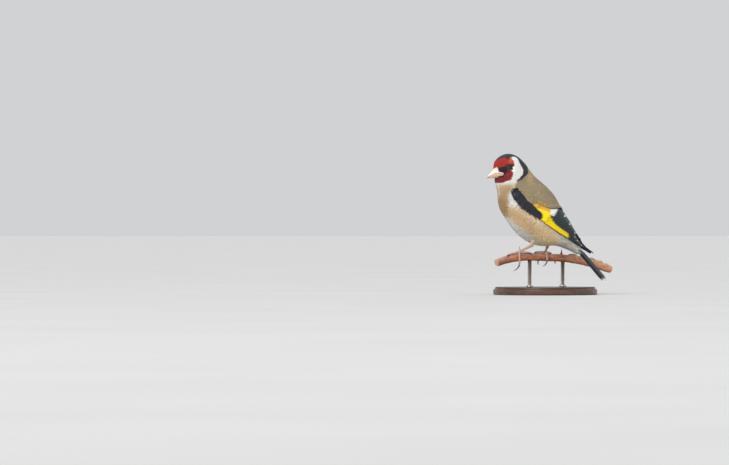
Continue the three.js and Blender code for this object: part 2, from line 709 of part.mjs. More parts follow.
function tarsusSolid(leg, grow) {
  const heel = birdPoint(leg.heel.s, leg.heel.y, leg.heel.z);
  const down = knuckleOf(leg).sub(heel).normalize();
  const ankle = knuckleOf(leg).addScaledVector(down, -(KNUCKLE_RADIUS + GAP + TARSUS_RADIUS * 0.4));
  const middle = heel.clone().lerp(ankle, 0.5);
  const radii = [1.2, TARSUS_RADIUS, TARSUS_RADIUS * 1.1].map((radius) => radius + grow);
  return toSolid(tube([heel.addScaledVector(down, 0.6), middle, ankle], radii, 10));
}

function makeLeg(leg) {
  const knuckle = knuckleOf(leg);
  const tarsus = tarsusSolid(leg, 0).subtract(thighSolid(leg, GAP));
  addPart(`tarsus_${leg.name}`, toGeometry(tarsus), COLOURS.leg, 0.6);

  let foot = toSolid(ball(knuckle, KNUCKLE_RADIUS, 6));
  for (const toe of leg.toes) {
    const points = gripPoints(leg.footX, toe, TOE_RADIUS);
    foot = foot.add(toSolid(tube(points, [TOE_RADIUS, TOE_RADIUS, TOE_RADIUS * 0.8], 6)));
  }
  foot = foot.subtract(toSolid(branchLoft(GAP * 0.9))).subtract(tarsusSolid(leg, GAP));
  addPart(`foot_${leg.name}`, toGeometry(foot), COLOURS.leg, 0.6);

  leg.claws.forEach((claw, i) => {
    const points = gripPoints(leg.footX, claw, TOE_RADIUS * 0.75);
    const shape = toSolid(tube(points, [0.6, 0.42, 0.12], 5)).subtract(toSolid(branchLoft(GAP * 0.9)));
    const toeEnd = gripPoints(leg.footX, [leg.toes[i].at(-1)], TOE_RADIUS)[0];
    const clear = toSolid(ball(toeEnd, TOE_RADIUS + GAP, 8));
    addPart(`claw_${leg.name}_${i + 1}`, toGeometry(shape.subtract(clear)), COLOURS.claw, 0.5);
  });
}

// Feathered thigh: a short cone from inside the belly down to the heel
function thighSolid(leg, grow) {
  const { s, y, z } = leg.heel;
  const points = [
    birdPoint(s + 3.4, y * 1.25, z + 8),
    birdPoint(s + 1.6, y * 1.12, z + 4),
    birdPoint(s, y, z + 0.9),
  ];
  return toSolid(tube(points, [4.2 + grow, 3.0 + grow, 1.5 + grow], 14));
}

function makeTorso() {
  let torso = toSolid(bodyLoft(NECK_END + CUT, TAIL_END, 0.5));
  for (const wing of WINGS) {
    torso = torso.subtract(toSolid(wingSlab(wing, wing.tip, -6, WING_ROOM, WING_ROOM, 20)));
    addPart(`wing_${wing.name}`, toGeometry(wingSolid(wing)), COLOURS.wing, 0.6);
  }
  torso = torso.subtract(tailSlab(1, GAP, 0, 6));
  addPart('tail', toGeometry(tailSolid()), COLOURS.tail, 0.6);
  for (const leg of LEGS) {
    torso = torso.subtract(thighSolid(leg, GAP)).subtract(tarsusSolid(leg, GAP));
    addPart(`thigh_${leg.name}`, toGeometry(thighSolid(leg, 0)), COLOURS.thigh);
  }
  addPart('torso', toGeometry(torso), COLOURS.breast);
}

function makeStand() {
  const { radius, height, chamfer } = BASE;
  const profile = [[0, 0], [radius, 0], [radius, height - chamfer], [radius - chamfer, height], [0, height]];
  const base = new THREE.LatheGeometry(profile.map(([x, y]) => new THREE.Vector2(x, y)), 40);
  base.rotateX(Math.PI / 2);
  addPart('stand_base', base, COLOURS.base, 0.4);
  ROD_X.forEach((x, i) => {
    const top = branchPoint(x);
    const low = height + GAP;
    const rod = new THREE.CylinderGeometry(ROD_RADIUS, ROD_RADIUS, top.z - low, 14);
    rod.rotateX(Math.PI / 2);
    rod.translate(x, top.y, (top.z + low) / 2);
    const cut = toSolid(rod).subtract(toSolid(branchLoft(GAP)));
    addPart(`stand_rod_${i + 1}`, toGeometry(cut), COLOURS.rod, 0.3, 1);
  });
}

makeHead();
addPart('neck', bodyLoft(HEAD_END + CUT, NECK_END, 0.5), COLOURS.mantle);
makeTorso();
LEGS.forEach(makeLeg);
makePerch();
makeStand();

export default goldfinch;
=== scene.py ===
"""A european goldfinch on its perch, with skin, feathers, horn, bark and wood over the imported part.

Every shape is worked out in millimetres in the part's own frame and put into its mesh in metres.
The sizes are those of the part's source, so each feather lies where its solid does."""

import bpy
import numpy as np
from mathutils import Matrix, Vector
from bpy.props import FloatProperty, FloatVectorProperty, IntProperty, PointerProperty


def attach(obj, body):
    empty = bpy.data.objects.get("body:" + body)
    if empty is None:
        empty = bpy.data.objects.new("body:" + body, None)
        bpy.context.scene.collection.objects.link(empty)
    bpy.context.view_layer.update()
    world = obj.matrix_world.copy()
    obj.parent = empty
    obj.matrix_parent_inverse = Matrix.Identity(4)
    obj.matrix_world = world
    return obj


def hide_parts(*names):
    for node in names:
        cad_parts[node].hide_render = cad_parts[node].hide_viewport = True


bl_info = {
    "name": "European Goldfinch",
    "version": (1, 0, 0),
    "blender": (4, 5, 0),
    "location": "View3D > Sidebar > Goldfinch",
    "description": "Builds the looks of a life-size goldfinch on a perch",
    "category": "Object",
}

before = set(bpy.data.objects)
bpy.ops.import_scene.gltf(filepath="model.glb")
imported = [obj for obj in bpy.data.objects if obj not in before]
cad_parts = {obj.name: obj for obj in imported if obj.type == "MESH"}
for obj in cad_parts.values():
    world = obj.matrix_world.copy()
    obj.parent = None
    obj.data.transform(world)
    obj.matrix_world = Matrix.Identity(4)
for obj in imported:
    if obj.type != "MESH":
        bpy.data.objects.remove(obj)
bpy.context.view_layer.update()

MM = 0.001
BODY_YAW = np.radians(10.5)
HEAD_TURN = np.radians(17.0)
NECK_AXIS_S = -17.0
TURN_ENDS = (7.0, 13.0)

# Back s and z, belly s and z, half width, lean of the widest level: bill end to tail end
STATIONS = np.array([
    [-40.9, 96.8, -40.1, 92.2, 2.2, 0],
    [-41.7, 99.8, -40.2, 90.2, 3.5, 0],
    [-41.6, 102.8, -40.4, 88.5, 4.7, -0.05],
    [-38.7, 105.5, -40.5, 87.0, 6.0, -0.1],
    [-35.5, 107.3, -40.3, 85.6, 7.5, -0.12],
    [-31.5, 108.3, -39.8, 84.2, 8.8, -0.12],
    [-27.1, 108.0, -39.2, 82.6, 9.8, -0.12],
    [-22.9, 106.3, -38.8, 80.9, 10.4, -0.1],
    [-19.0, 103.4, -38.3, 78.9, 10.8, -0.08],
    [-15.4, 99.7, -37.8, 76.7, 11.5, -0.05],
    [-12.0, 95.3, -37.4, 74.2, 12.6, 0],
    [-8.4, 91.0, -37.0, 71.4, 14.1, 0],
    [-3.9, 87.2, -36.2, 68.4, 15.5, 0],
    [0.9, 83.0, -35.0, 65.0, 16.4, 0],
    [5.7, 78.1, -32.8, 61.2, 16.9, 0],
    [9.4, 72.3, -29.8, 56.8, 17.0, 0],
    [12.3, 66.0, -26.0, 51.4, 16.6, 0],
    [14.6, 59.4, -21.2, 46.2, 15.5, 0],
    [17.4, 53.2, -15.2, 41.8, 13.8, 0],
    [20.2, 47.8, -8.2, 38.4, 11.6, 0],
    [22.8, 43.2, -0.6, 37.4, 9.3, 0],
    [25.4, 39.4, 8.0, 37.8, 7.2, 0],
    [28.0, 36.0, 17.2, 34.8, 5.2, 0],
    [31.0, 32.6, 26.4, 30.4, 3.2, 0],
])
TAIL_END = len(STATIONS) - 1.0

EYE = {"s": -34.4, "y": 6.9, "z": 97.5, "radius": 2.7, "lid_radius": 2.15, "lid_tube": 0.45}
CULMEN = [[-39.8, 98.6], [-46.0, 95.4], [-49.6, 89.4]]
TOMIUM = [[-36.6, 91.3], [-41.2, 96.2], [-49.2, 89.6]]
GONYS = [[-37.2, 90.0], [-42.8, 89.6], [-48.1, 89.5]]
BILL_HALF = 4.9
BILL_TAPER = 0.9
NOSTRIL = (-41.9, 95.4, 0.45)
GAPE_HOLLOW = {"z": 92.3, "reach": 2.5, "depth": 0.64, "from": 3.4, "to": 7.4}

WING_CENTRE = [[-23, -23.6], [-8, -24.5], [5, -24.3], [17, -23], [30, -21], [38, -20], [50, -19], [62, -18.2]]
WING_BACK = [[-23, 4], [-8, 3.5], [5, 1.6], [17, -2.6], [30, -5.8], [38, -9], [50, -13], [62, -13.4]]
WING_HALF = [[-23, 13.4], [-8, 17.3], [5, 18.2], [17, 17], [30, 13.2], [38, 10.2], [50, 6], [62, 3.6]]
WING_LOW = [[-23, -18.2], [-20, -21.5], [-12, -24], [-3, -23.6], [8, -22], [20, -21.3], [37, -18.8],
            [50, -17]]
WING_UP = [[-23, -14.8], [-20, -13.8], [-12, -13.6], [-2, -13], [8, -10.6], [14, -6], [18, -3.6], [30, -6.4],
           [38, -9.8], [50, -16]]
WING_FRONT = -23.0
WING_SPAN = 73.0
WINGS = {
    "left": {"side": -1.0, "front": -21.8, "tip": 50.0, "lift": 0.0},
    "right": {"side": 1.0, "front": -20.0, "tip": 60.5, "lift": 2.4},
}

TAIL_ROOT = np.array([14.0, 50.2])
TAIL_TIP = np.array([47.8, 11.7])
TAIL_HALF = (3.2, 7.5)
TAIL_THICK = 2.2
TAIL_NOTCH = 2.6
TAIL_ARCH = 2.8
TAIL_LENGTH = 50.0

BRANCH_LINE = [[-46.2, 21.4], [-31.1, 26.8], [-17.4, 29.0], [-0.2, 28.8], [18.6, 27.6], [35.7, 24.2],
               [50, 19.8], [61.4, 16.5]]
BRANCH_RADIUS = 2.95
BRANCH_ENDS = (-38.0, 52.0)
BRANCH_PLAN = (0.2, 4.1, 0.552)
BRANCH_KNOTS = (-29.0, -6.5, 22.0, 40.5)
THORNS = [(-18.2, -30.0, 7.0, 0.6, 0.15), (12.6, 8.0, 4.6, 0.75, -0.05), (31.0, -14.0, 3.8, 0.9, -0.1),
          (8.0, 160.0, 2.4, 0.9, -0.4)]

GAP = 0.3
TARSUS_RADIUS = 0.85
TOE_RADIUS = 0.8
KNUCKLE_RADIUS = 1.25
# Toe and claw paths round the branch: along it, degrees round it, lift off it
LEGS = {
    "left": {
        "foot_x": -20.2,
        "heel": (-11.8, -5.2, 38.0),
        "toes": [
            [(0, 0, 0.4), (-3, 12, 0), (-6, 20, 0), (-8.2, 26, 0)],
            [(0, 10, 0.4), (-1.0, 45, 0), (-1.8, 85, 0), (-2.3, 115, 1.2), (-3.0, 138, 3.2)],
            [(0, -10, 0.4), (-2.6, -36, 0), (-4.6, -66, 0), (-5.6, -96, 0)],
            [(0, 4, 0.4), (2.5, 20, 0), (5, 26, 0), (6.6, 34, 0)],
        ],
        "claws": [
            [(-8.8, 28, 0), (-10, 44, 0.5), (-10.6, 68, 0.4)],
            [(-3.4, 146, 4.2), (-5.4, 156, 5.6), (-7.6, 164, 6.0)],
            [(-5.8, -108, 0), (-6.4, -126, 0.4), (-6.6, -146, 0.3)],
            [(7.1, 39, 0), (7.9, 54, 0.5), (8.1, 74, 0.4)],
        ],
    },
    "right": {
        "foot_x": 0.2,
        "heel": (3.0, 5.2, 37.0),
        "toes": [
            [(0, 0, 0.4), (-3.4, 8, 0), (-6, 12, 0), (-8, 20, 0)],
            [(0, 10, 0.4), (-0.4, 45, 0), (-0.5, 85, 0), (-0.7, 122, 1.1)],
            [(0, -10, 0.4), (-1.0, -50, 0), (-2.2, -95, 0), (-3.6, -132, 0.3)],
            [(0, 0, 0.4), (2.5, -15, 0), (5, -30, 0), (6.4, -52, 0)],
        ],
        "claws": [
            [(-8.6, 23, 0), (-9.7, 40, 0.5), (-10.2, 62, 0.4)],
            [(-0.9, 133, 2.0), (-1.9, 150, 3.3), (-3.4, 164, 3.7)],
            [(-4.1, -144, 0.7), (-4.7, -162, 1.7), (-4.6, -178, 2.6)],
            [(6.8, -64, 0), (7.4, -82, 0.4), (7.5, -102, 0.3)],
        ],
    },
}


def linear(red, green, blue):
    """Linear light of a colour given in 0 to 255 steps of the display's curve."""
    c = np.array([red, green, blue]) / 255.0
    return np.where(c <= 0.04045, c / 12.92, ((c + 0.055) / 1.055) ** 2.4)


BLACK = linear(32, 36, 42)
CROWN = linear(44, 52, 60)
RED = linear(176, 42, 36)
CHIN_RED = linear(138, 34, 35)
# Colour of a painted highlight on the red face
HIGHLIGHT_ORANGE = linear(232, 96, 48)
WHITE = linear(250, 250, 243)
CREAM = linear(234, 218, 190)
BELLY = linear(222, 227, 224)
MANTLE = linear(165, 147, 115)
BREAST = linear(168, 130, 84)
TAN = linear(212, 178, 130)
GREY = linear(120, 122, 126)
YELLOW = linear(255, 226, 0)
GOLD = linear(226, 170, 66)
FLANK = linear(232, 202, 150)
VANE_BLACK = linear(50, 60, 66)
TAIL_GREY = linear(60, 72, 80)
BILL_IVORY = linear(250, 238, 224)
BILL_ROSE = linear(234, 210, 192)
BILL_SHADE_TAN = linear(214, 170, 130)
# Tan of painted shade on the lower mandible
BILL_DARK = linear(150, 122, 104)
PUPIL = linear(8, 7, 7)
IRIS = linear(36, 24, 17)
EYE_RIM = linear(10, 8, 8)
LID_DARK = linear(34, 33, 35)
# Colour of a painted highlight along the eyelid's lower half
LID_HIGHLIGHT = linear(112, 104, 98)
LEG_COLOURS = (linear(206, 166, 146), linear(176, 138, 124))
CLAW_COLOURS = (linear(120, 96, 84), linear(44, 36, 34))
BARK_RED = linear(208, 134, 94)
BARK_BROWN = linear(150, 96, 68)
BARK_PALE = linear(228, 166, 124)
BARK_GREY = linear(196, 172, 166)
# Painted shade on the branch's underside
BARK_SHADE_UNDER = linear(124, 84, 62)
# Painted shade in the hollows of the bark's relief
BARK_HOLLOW_SHADE = linear(92, 60, 44)
THORN_FOOT = linear(170, 96, 56)
THORN_TIP = linear(70, 40, 30)
STEM_DARK = linear(196, 174, 150)
STEM_PALE = linear(222, 204, 180)
WOOD_PALE = linear(214, 182, 140)
WOOD_DARK = linear(170, 128, 88)
# The skin under the coat is the coat's colour a little darker: painted shade between the tufts
SKIN_PAINTED_SHADE = 0.94


def smoothstep(x, low, high):
    """0 below low, 1 above high, and 3 f squared minus 2 f cubed between them."""
    f = np.clip((x - low) / (high - low), 0.0, 1.0)
    return f * f * (3.0 - 2.0 * f)


def mix(one, other, share):
    """Straight mix of two colours or numbers by a share from 0 to 1."""
    share = np.asarray(share)
    if np.ndim(one) and np.shape(one)[-1] == 3 and share.shape != np.shape(one):
        share = share[..., None]
    return one + (other - one) * share


def along_rows(rows, u):
    """Catmull-Rom curve through rows of numbers at the fractional row numbers u."""
    last = len(rows) - 1
    place = np.clip(u, 0, last)
    i = np.minimum(np.floor(place).astype(int), last - 1)
    f = (place - i)[..., None]
    p0, p1, p2, p3 = (rows[np.clip(i + k, 0, last)] for k in (-1, 0, 1, 2))
    square = 2 * p0 - 5 * p1 + 4 * p2 - p3
    cube = 3 * p1 - p0 - 3 * p2 + p3
    return 0.5 * (2 * p1 + (p2 - p0) * f + square * f ** 2 + cube * f ** 3)


def along_pairs(pairs, x):
    """Cubic Hermite curve through (place, value) pairs, its slopes those between each pair's neighbours."""
    pairs = np.asarray(pairs, float)
    place, value = pairs[:, 0], pairs[:, 1]
    last = len(pairs) - 1
    low = np.maximum(np.arange(last + 1) - 1, 0)
    high = np.minimum(np.arange(last + 1) + 1, last)
    slope = (value[high] - value[low]) / (place[high] - place[low])
    i = np.clip(np.searchsorted(place, x) - 1, 0, last - 1)
    span = place[i + 1] - place[i]
    f = np.clip((x - place[i]) / span, 0.0, 1.0)
    ends = (2 * f ** 3 - 3 * f ** 2 + 1) * value[i] + (3 * f ** 2 - 2 * f ** 3) * value[i + 1]
    return ends + (f ** 3 - 2 * f ** 2 + f) * slope[i] * span + (f ** 3 - f ** 2) * slope[i + 1] * span


def along_line(pairs, x):
    """Straight lines through (place, value) pairs, level beyond the ends."""
    pairs = np.asarray(pairs, float)
    return np.interp(x, pairs[:, 0], pairs[:, 1])


def unit(vectors):
    """Vectors divided by their own length."""
    return vectors / np.maximum(np.linalg.norm(vectors, axis=-1, keepdims=True), 1e-9)


def circle(count):
    """So many angles, spread evenly round a full turn."""
    return np.linspace(0, 2 * np.pi, count, endpoint=False)


def grid(rows, columns):
    """Every pair of a row value and a column value, as two arrays."""
    return np.meshgrid(rows, columns, indexing="ij")


def ripple(points, size, seed):
    """Smooth noise from -1 to 1: the sum of eight sine waves in random directions, as long as size or so."""
    rng = np.random.default_rng(seed)
    total = np.zeros(points.shape[:-1])
    for _ in range(8):
        direction = unit(rng.normal(size=3)) * (2 * np.pi / (size * rng.uniform(0.7, 1.5)))
        total += np.sin(points @ direction + rng.uniform(0, 2 * np.pi))
    return total / 4.0


def bird_point(s, y, z, turn=0.0):
    """Turns a point (s to the tail, y to the right, z up) about the neck's axis, then the upright one."""
    s, y, z = np.broadcast_arrays(s, y, z)
    s1 = NECK_AXIS_S + (s - NECK_AXIS_S) * np.cos(turn) - y * np.sin(turn)
    y1 = (s - NECK_AXIS_S) * np.sin(turn) + y * np.cos(turn)
    return np.stack([
        s1 * np.cos(BODY_YAW) - y1 * np.sin(BODY_YAW),
        s1 * np.sin(BODY_YAW) + y1 * np.cos(BODY_YAW),
        z + 0 * s1,
    ], -1)


def turn_at(u):
    """The head's turn, fading out over the neck by a smooth step."""
    return HEAD_TURN * (1 - smoothstep(u, *TURN_ENDS))


def body_local(u, t):
    """Ring of an ellipse between back and belly at station u: middle plus half the span times cosine t, and
    width times sine t. A bell-shaped hollow narrows it at the corners of the gape."""
    rows = along_rows(STATIONS, u)
    ds, dz, vs, vz, half, lean = (rows[..., k] for k in range(6))
    c = np.cos(t) + lean * np.sin(t) ** 2
    s = (ds + vs) / 2 + (ds - vs) / 2 * c
    z = (dz + vz) / 2 + (dz - vz) / 2 * c
    fade = 1 - smoothstep(u, GAPE_HOLLOW["from"], GAPE_HOLLOW["to"])
    hollow = GAPE_HOLLOW["depth"] * fade * np.exp(-((z - GAPE_HOLLOW["z"]) / GAPE_HOLLOW["reach"]) ** 2)
    return s, half * (1 - hollow) * np.sin(t), z


def body_point(u, t):
    """The body's own surface, turned with the head or the trunk."""
    return bird_point(*body_local(u, t), turn_at(u))


def body_surface(u, t, height):
    """The body's surface moved out by height along its normal, the cross product of its two slopes."""
    u = np.clip(u, 0.03, TAIL_END - 0.03)
    step = 0.02
    onward = body_point(u + step, t) - body_point(u - step, t)
    around = body_point(u, t + step) - body_point(u, t - step)
    return body_point(u, t) + unit(np.cross(onward, around)) * np.asarray(height)[..., None]


def coat_depth(u, head, trunk):
    """A depth under the body: from the head's to the trunk's by a smooth step, and less at the tail."""
    return mix(head, trunk, smoothstep(u, 6, 11)) * (1 - 0.3 * smoothstep(u, 20, 23))


def wing_place(wing, drawn):
    """A place along the drawn wing, stretched in proportion to this wing's front and tip."""
    return wing["front"] + (drawn - WING_FRONT) / WING_SPAN * (wing["tip"] - wing["front"])


def wing_edges(wing, along):
    """Lower and upper edge across the wing at a place along it."""
    f = (along - wing["front"]) / (wing["tip"] - wing["front"])
    drawn = WING_FRONT + f * WING_SPAN
    lift = wing["lift"] * smoothstep(f, 0.6, 1.0)
    return along_pairs(WING_LOW, drawn) + lift, along_pairs(WING_UP, drawn) + lift


def wing_point(wing, along, up, height):
    """An elliptic shell: across is centre plus height times sine, sideways half width times cosine."""
    centre = along_pairs(WING_CENTRE, along)
    tall = along_pairs(WING_BACK, along) - centre
    half = along_pairs(WING_HALF, along)
    sine = np.clip((up - centre) / tall, -0.45, 0.985)
    across = centre + (tall + height) * sine
    sideways = wing["side"] * (half + height) * np.sqrt(1 - sine ** 2)
    return bird_point(0.79 * along + 0.613 * across, sideways, 80 - 0.613 * along + 0.79 * across)


def wing_coordinates(s, y, z):
    """Along, up and depth of a point under the wing's elliptic shell, the reverse of wing_point."""
    along = 0.79 * s - 0.613 * (z - 80)
    across = 0.613 * s + 0.79 * (z - 80)
    centre = along_pairs(WING_CENTRE, along)
    tall = along_pairs(WING_BACK, along) - centre
    half = along_pairs(WING_HALF, along)
    ratio = np.sqrt(((across - centre) / tall) ** 2 + (y / half) ** 2)
    return along, centre + (across - centre) / np.maximum(ratio, 0.05), (1 - ratio) * (tall + half) / 2


def tail_point(along, across, height):
    """A plane through the tail's axis and the bird's side-to-side direction; along runs from 0 to 1."""
    axis = TAIL_TIP - TAIL_ROOT
    length = np.hypot(*axis)
    axis = axis / length
    s = TAIL_ROOT[0] + axis[0] * along * length - axis[1] * height
    z = TAIL_ROOT[1] + axis[1] * along * length + axis[0] * height
    return bird_point(s, across, z)


def branch_point(x):
    """The branch's centre line: its height over X, and a straight slope in plan."""
    y = BRANCH_PLAN[1] + BRANCH_PLAN[2] * (x - BRANCH_PLAN[0])
    return np.stack([x, y, along_pairs(BRANCH_LINE, x)], -1)


def branch_frame(x):
    """The branch's tangent, its upward direction and the one to the viewer, each square to the others."""
    tangent = unit(branch_point(x + 0.5) - branch_point(x - 0.5))
    up = unit(np.array([0.0, 0.0, 1.0]) - tangent * tangent[..., 2:])
    return tangent, up, np.cross(tangent, up)


def round_branch(x, angle, distance):
    """A point at an angle round the branch's centre line and at a distance from it."""
    _, up, near = branch_frame(x)
    cosine, sine = np.cos(angle)[..., None], np.sin(angle)[..., None]
    return branch_point(x) + (up * cosine + near * sine) * np.asarray(distance)[..., None]


def outward(points, faces):
    """Triangles turned so that the volume they enclose, the sum of a dot b cross c, is positive."""
    a, b, c = (points[faces[:, k]] for k in range(3))
    return faces if np.einsum("ij,ij->", a, np.cross(b, c)) > 0 else faces[:, ::-1]


def strip_faces(rows, ring):
    """Triangles of a tube of rows rings, closed at each end by a fan, or one triangle for rings of three."""
    r = np.arange(rows - 1)[:, None] * ring
    c = np.arange(ring)[None, :]
    n = (c + 1) % ring
    wall = [r + c, r + n, r + n + ring, r + c, r + n + ring, r + c + ring]
    wall = np.stack(wall, -1).reshape(-1, 3)
    last = (rows - 1) * ring
    if ring == 3:
        return np.concatenate([wall, [[2, 1, 0], [last, last + 1, last + 2]]])
    c, n = c[0], n[0]
    hub = np.full(ring, rows * ring)
    fans = [np.stack([n, c, hub], -1), np.stack([last + c, last + n, hub + 1], -1)]
    return np.concatenate([wall, *fans])


def tubes(rings, **fields):
    """Closed tubes from rings of points shaped (tubes, rows, ring, 3), with fields of that leading shape."""
    count, rows, ring = rings.shape[:3]
    faces = strip_faces(rows, ring)
    shape = {}
    for name, values in {"points": rings, **fields}.items():
        values = np.broadcast_to(values, (count, rows, ring, values.shape[-1]))
        flat = values.reshape(count, rows * ring, -1)
        if ring != 3:
            flat = np.concatenate([flat, values[:, :1].mean(2), values[:, -1:].mean(2)], 1)
        shape[name] = flat.reshape(-1, flat.shape[-1])
    each = len(shape["points"]) // count
    faces = (faces[None] + np.arange(count)[:, None, None] * each).reshape(-1, 3)
    shape["faces"] = outward(shape["points"], faces)
    return shape


def tube(rings, **fields):
    """One closed tube from rings shaped (rows, ring, 3)."""
    return tubes(rings[None], **{name: np.asarray(value)[None] for name, value in fields.items()})


def torus(rings, **fields):
    """A closed loop of rings of points shaped (rings, ring, 3), with fields of the same leading shape."""
    rows, ring = rings.shape[:2]
    r, c = grid(np.arange(rows), np.arange(ring))
    r2, c2 = (r + 1) % rows, (c + 1) % ring
    first, second, third, fourth = r * ring + c, r * ring + c2, r2 * ring + c2, r2 * ring + c
    faces = np.stack([first, second, third, first, third, fourth], -1).reshape(-1, 3)
    shape = {name: values.reshape(rows * ring, -1) for name, values in {"points": rings, **fields}.items()}
    shape["faces"] = outward(shape["points"], faces)
    return shape


def merged(shapes):
    """Several shapes with the same fields as one."""
    starts = np.cumsum([0] + [len(s["points"]) for s in shapes[:-1]])
    names = [n for n in shapes[0] if n != "faces"]
    out = {n: np.concatenate([s[n] for s in shapes]) for n in names}
    out["faces"] = np.concatenate([s["faces"] + start for s, start in zip(shapes, starts)])
    return out


def put_piece(name, shape, material, nodes=()):
    """Puts a shape into a mesh: colour goes to the tint attribute, vane and bake to UV maps."""
    mesh = bpy.data.meshes.new(name)
    faces = shape["faces"].astype(np.int32)
    mesh.vertices.add(len(shape["points"]))
    mesh.vertices.foreach_set("co", (shape["points"] * MM).astype(np.float32).ravel())
    mesh.loops.add(faces.size)
    mesh.loops.foreach_set("vertex_index", faces.ravel())
    mesh.polygons.add(len(faces))
    mesh.polygons.foreach_set("loop_start", np.arange(0, faces.size, 3, dtype=np.int32))
    mesh.update(calc_edges=True)
    mesh.polygons.foreach_set("use_smooth", np.ones(len(faces), bool))
    for field, title in (("bake", "OFBake"), ("vane", "Vane")):
        if field in shape:
            layer = mesh.uv_layers.new(name=title)
            layer.uv.foreach_set("vector", shape[field][faces.ravel()].astype(np.float32).ravel())
    if "colour" in shape:
        tint = mesh.attributes.new("tint", "FLOAT_COLOR", "POINT")
        rgba = np.ones((len(shape["points"]), 4), np.float32)
        rgba[:, :3] = shape["colour"]
        tint.data.foreach_set("color", rgba.ravel())
    mesh.materials.append(material)
    piece = bpy.data.objects.new(name, mesh)
    bpy.context.scene.collection.objects.link(piece)
    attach(piece, "root")
    if nodes:
        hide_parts(*nodes)
    return piece


def side_view(u, t):
    """Across and height of a point in the side view, with both sides of the bird folded onto the left one."""
    s, y, z = body_local(u, t)
    folded = bird_point(s, -np.abs(y), z, turn_at(u))
    return folded[..., 0], folded[..., 2]


CROWN_EDGE = [[-45, 100.6], [-39.5, 102.4], [-38, 103.3], [-36.5, 104.1], [-35, 104.6], [-33.4, 105.3],
              [-32, 105.7], [-30.6, 105.2], [-29.6, 103.2], [-28.6, 104.4], [-27.4, 105.6],
              [-25.4, 106.0], [-22.8, 105.8], [-21, 105], [-10, 103.4]]
RED_REAR = [[80, -26.7], [88.4, -26.7], [90.4, -25.7], [92.5, -25.2], [96.6, -24.9], [99.2, -24.6],
            [100.4, -23.8], [102, -24.4], [103.8, -25.2], [105.3, -26.9]]
CHIN_EDGE = [[-45, 85.9], [-37.5, 85.8], [-32.6, 86.0], [-29, 87.4], [-26.7, 88.3]]
BAR_FRONT = [[87.6, -21.6], [88.9, -20.3], [90.7, -18.5], [93, -16.9], [95, -16.4], [97.6, -17.1],
             [99.2, -18.2], [101, -19.3], [102.7, -19.8], [104.8, -21.0], [106.1, -22.8]]
BAR_REAR = [[87.5, -21.4], [88.9, -18.7], [90.7, -16.2], [93, -13.9], [94.5, -13.6], [97.6, -13.9],
            [98.6, -12.0], [99.4, 0.0]]
MANTLE_EDGE = [[-26, 83], [-25, 81.8], [-17, 74.5], [-9.6, 68.0], [3.2, 65], [13, 61], [20, 55], [30, 40]]
LORES_TOP = [[-45, 97.4], [-36.2, 97.6], [-34.7, 97.9], [-32.6, 98.6], [-30.3, 99.4], [-27.5, 100.4],
             [-24.6, 100.2]]
LORES_LOW = [[-45, 89.6], [-33.6, 89.6], [-32.0, 90.4], [-31.4, 92.5], [-30.5, 94.5], [-28, 95.0],
             [-25.2, 96.1], [-24.6, 97.0]]


def coat_colour(u, t):
    """The bird's markings: each is a soft step over curves drawn in the side view or round the body."""
    x, z = side_view(u, t)
    spot = np.stack([x, z, 0 * x], -1)
    x = x + 0.16 * ripple(spot, 1.3, 3)
    z = z + 0.16 * ripple(spot, 1.1, 4)
    inside, above = wing_cover(clothed_surface(u, t, 0 * u))
    colour = back_colour(spot, x, u, t, inside, above)
    front = (1 - smoothstep(x, -24.4, -22.8)) * smoothstep(z, 78, 80)
    over_wing = smoothstep(z - along_line(MANTLE_EDGE, x), -1.2, 0.4) * smoothstep(x, -24.4, -22.8)
    low = np.maximum(smoothstep(np.abs(t), 1.2, 1.7), front) * (1 - over_wing)
    low = np.maximum(low, smoothstep(u, 16.5, 18.0))
    colour = mix(colour, under_colour(spot, x, z), low)
    corner = (1 - smoothstep(above, -0.3, 0.3)) * smoothstep(x, -26.2, -25.7) * (1 - smoothstep(x, -21, -20))
    colour = mix(colour, BLACK, corner * smoothstep(z, 76.0, 77.5) * (1 - smoothstep(z, 81.6, 82.1)))
    return head_colour(colour, x, z, u)


def back_colour(spot, x, u, t, inside, above):
    """Brown mantle, mottled by two ripples, a pale rump, and gold where it meets the wing's gold coverts."""
    colour = mix(MANTLE + 0 * x[..., None], MANTLE * 0.84, 0.5 + 0.5 * ripple(spot, 7, 8))
    colour = colour * (1 + 0.09 * ripple(spot * [1.4, 1.0, 1.0], 1.7, 15))[..., None]
    rump = smoothstep(u, 15.5, 17.5) * (1 - smoothstep(np.abs(t), 0.7, 1.1))
    colour = mix(colour, CREAM, 0.8 * rump)
    golden = (inside > -1) * (1 - smoothstep(above, 0.4, 3.0))
    golden = golden * smoothstep(x, -10.0, -8.0) * (1 - smoothstep(x, 1.0, 3.5))
    return mix(colour, mix(GOLD, MANTLE, 0.35), 0.7 * golden)


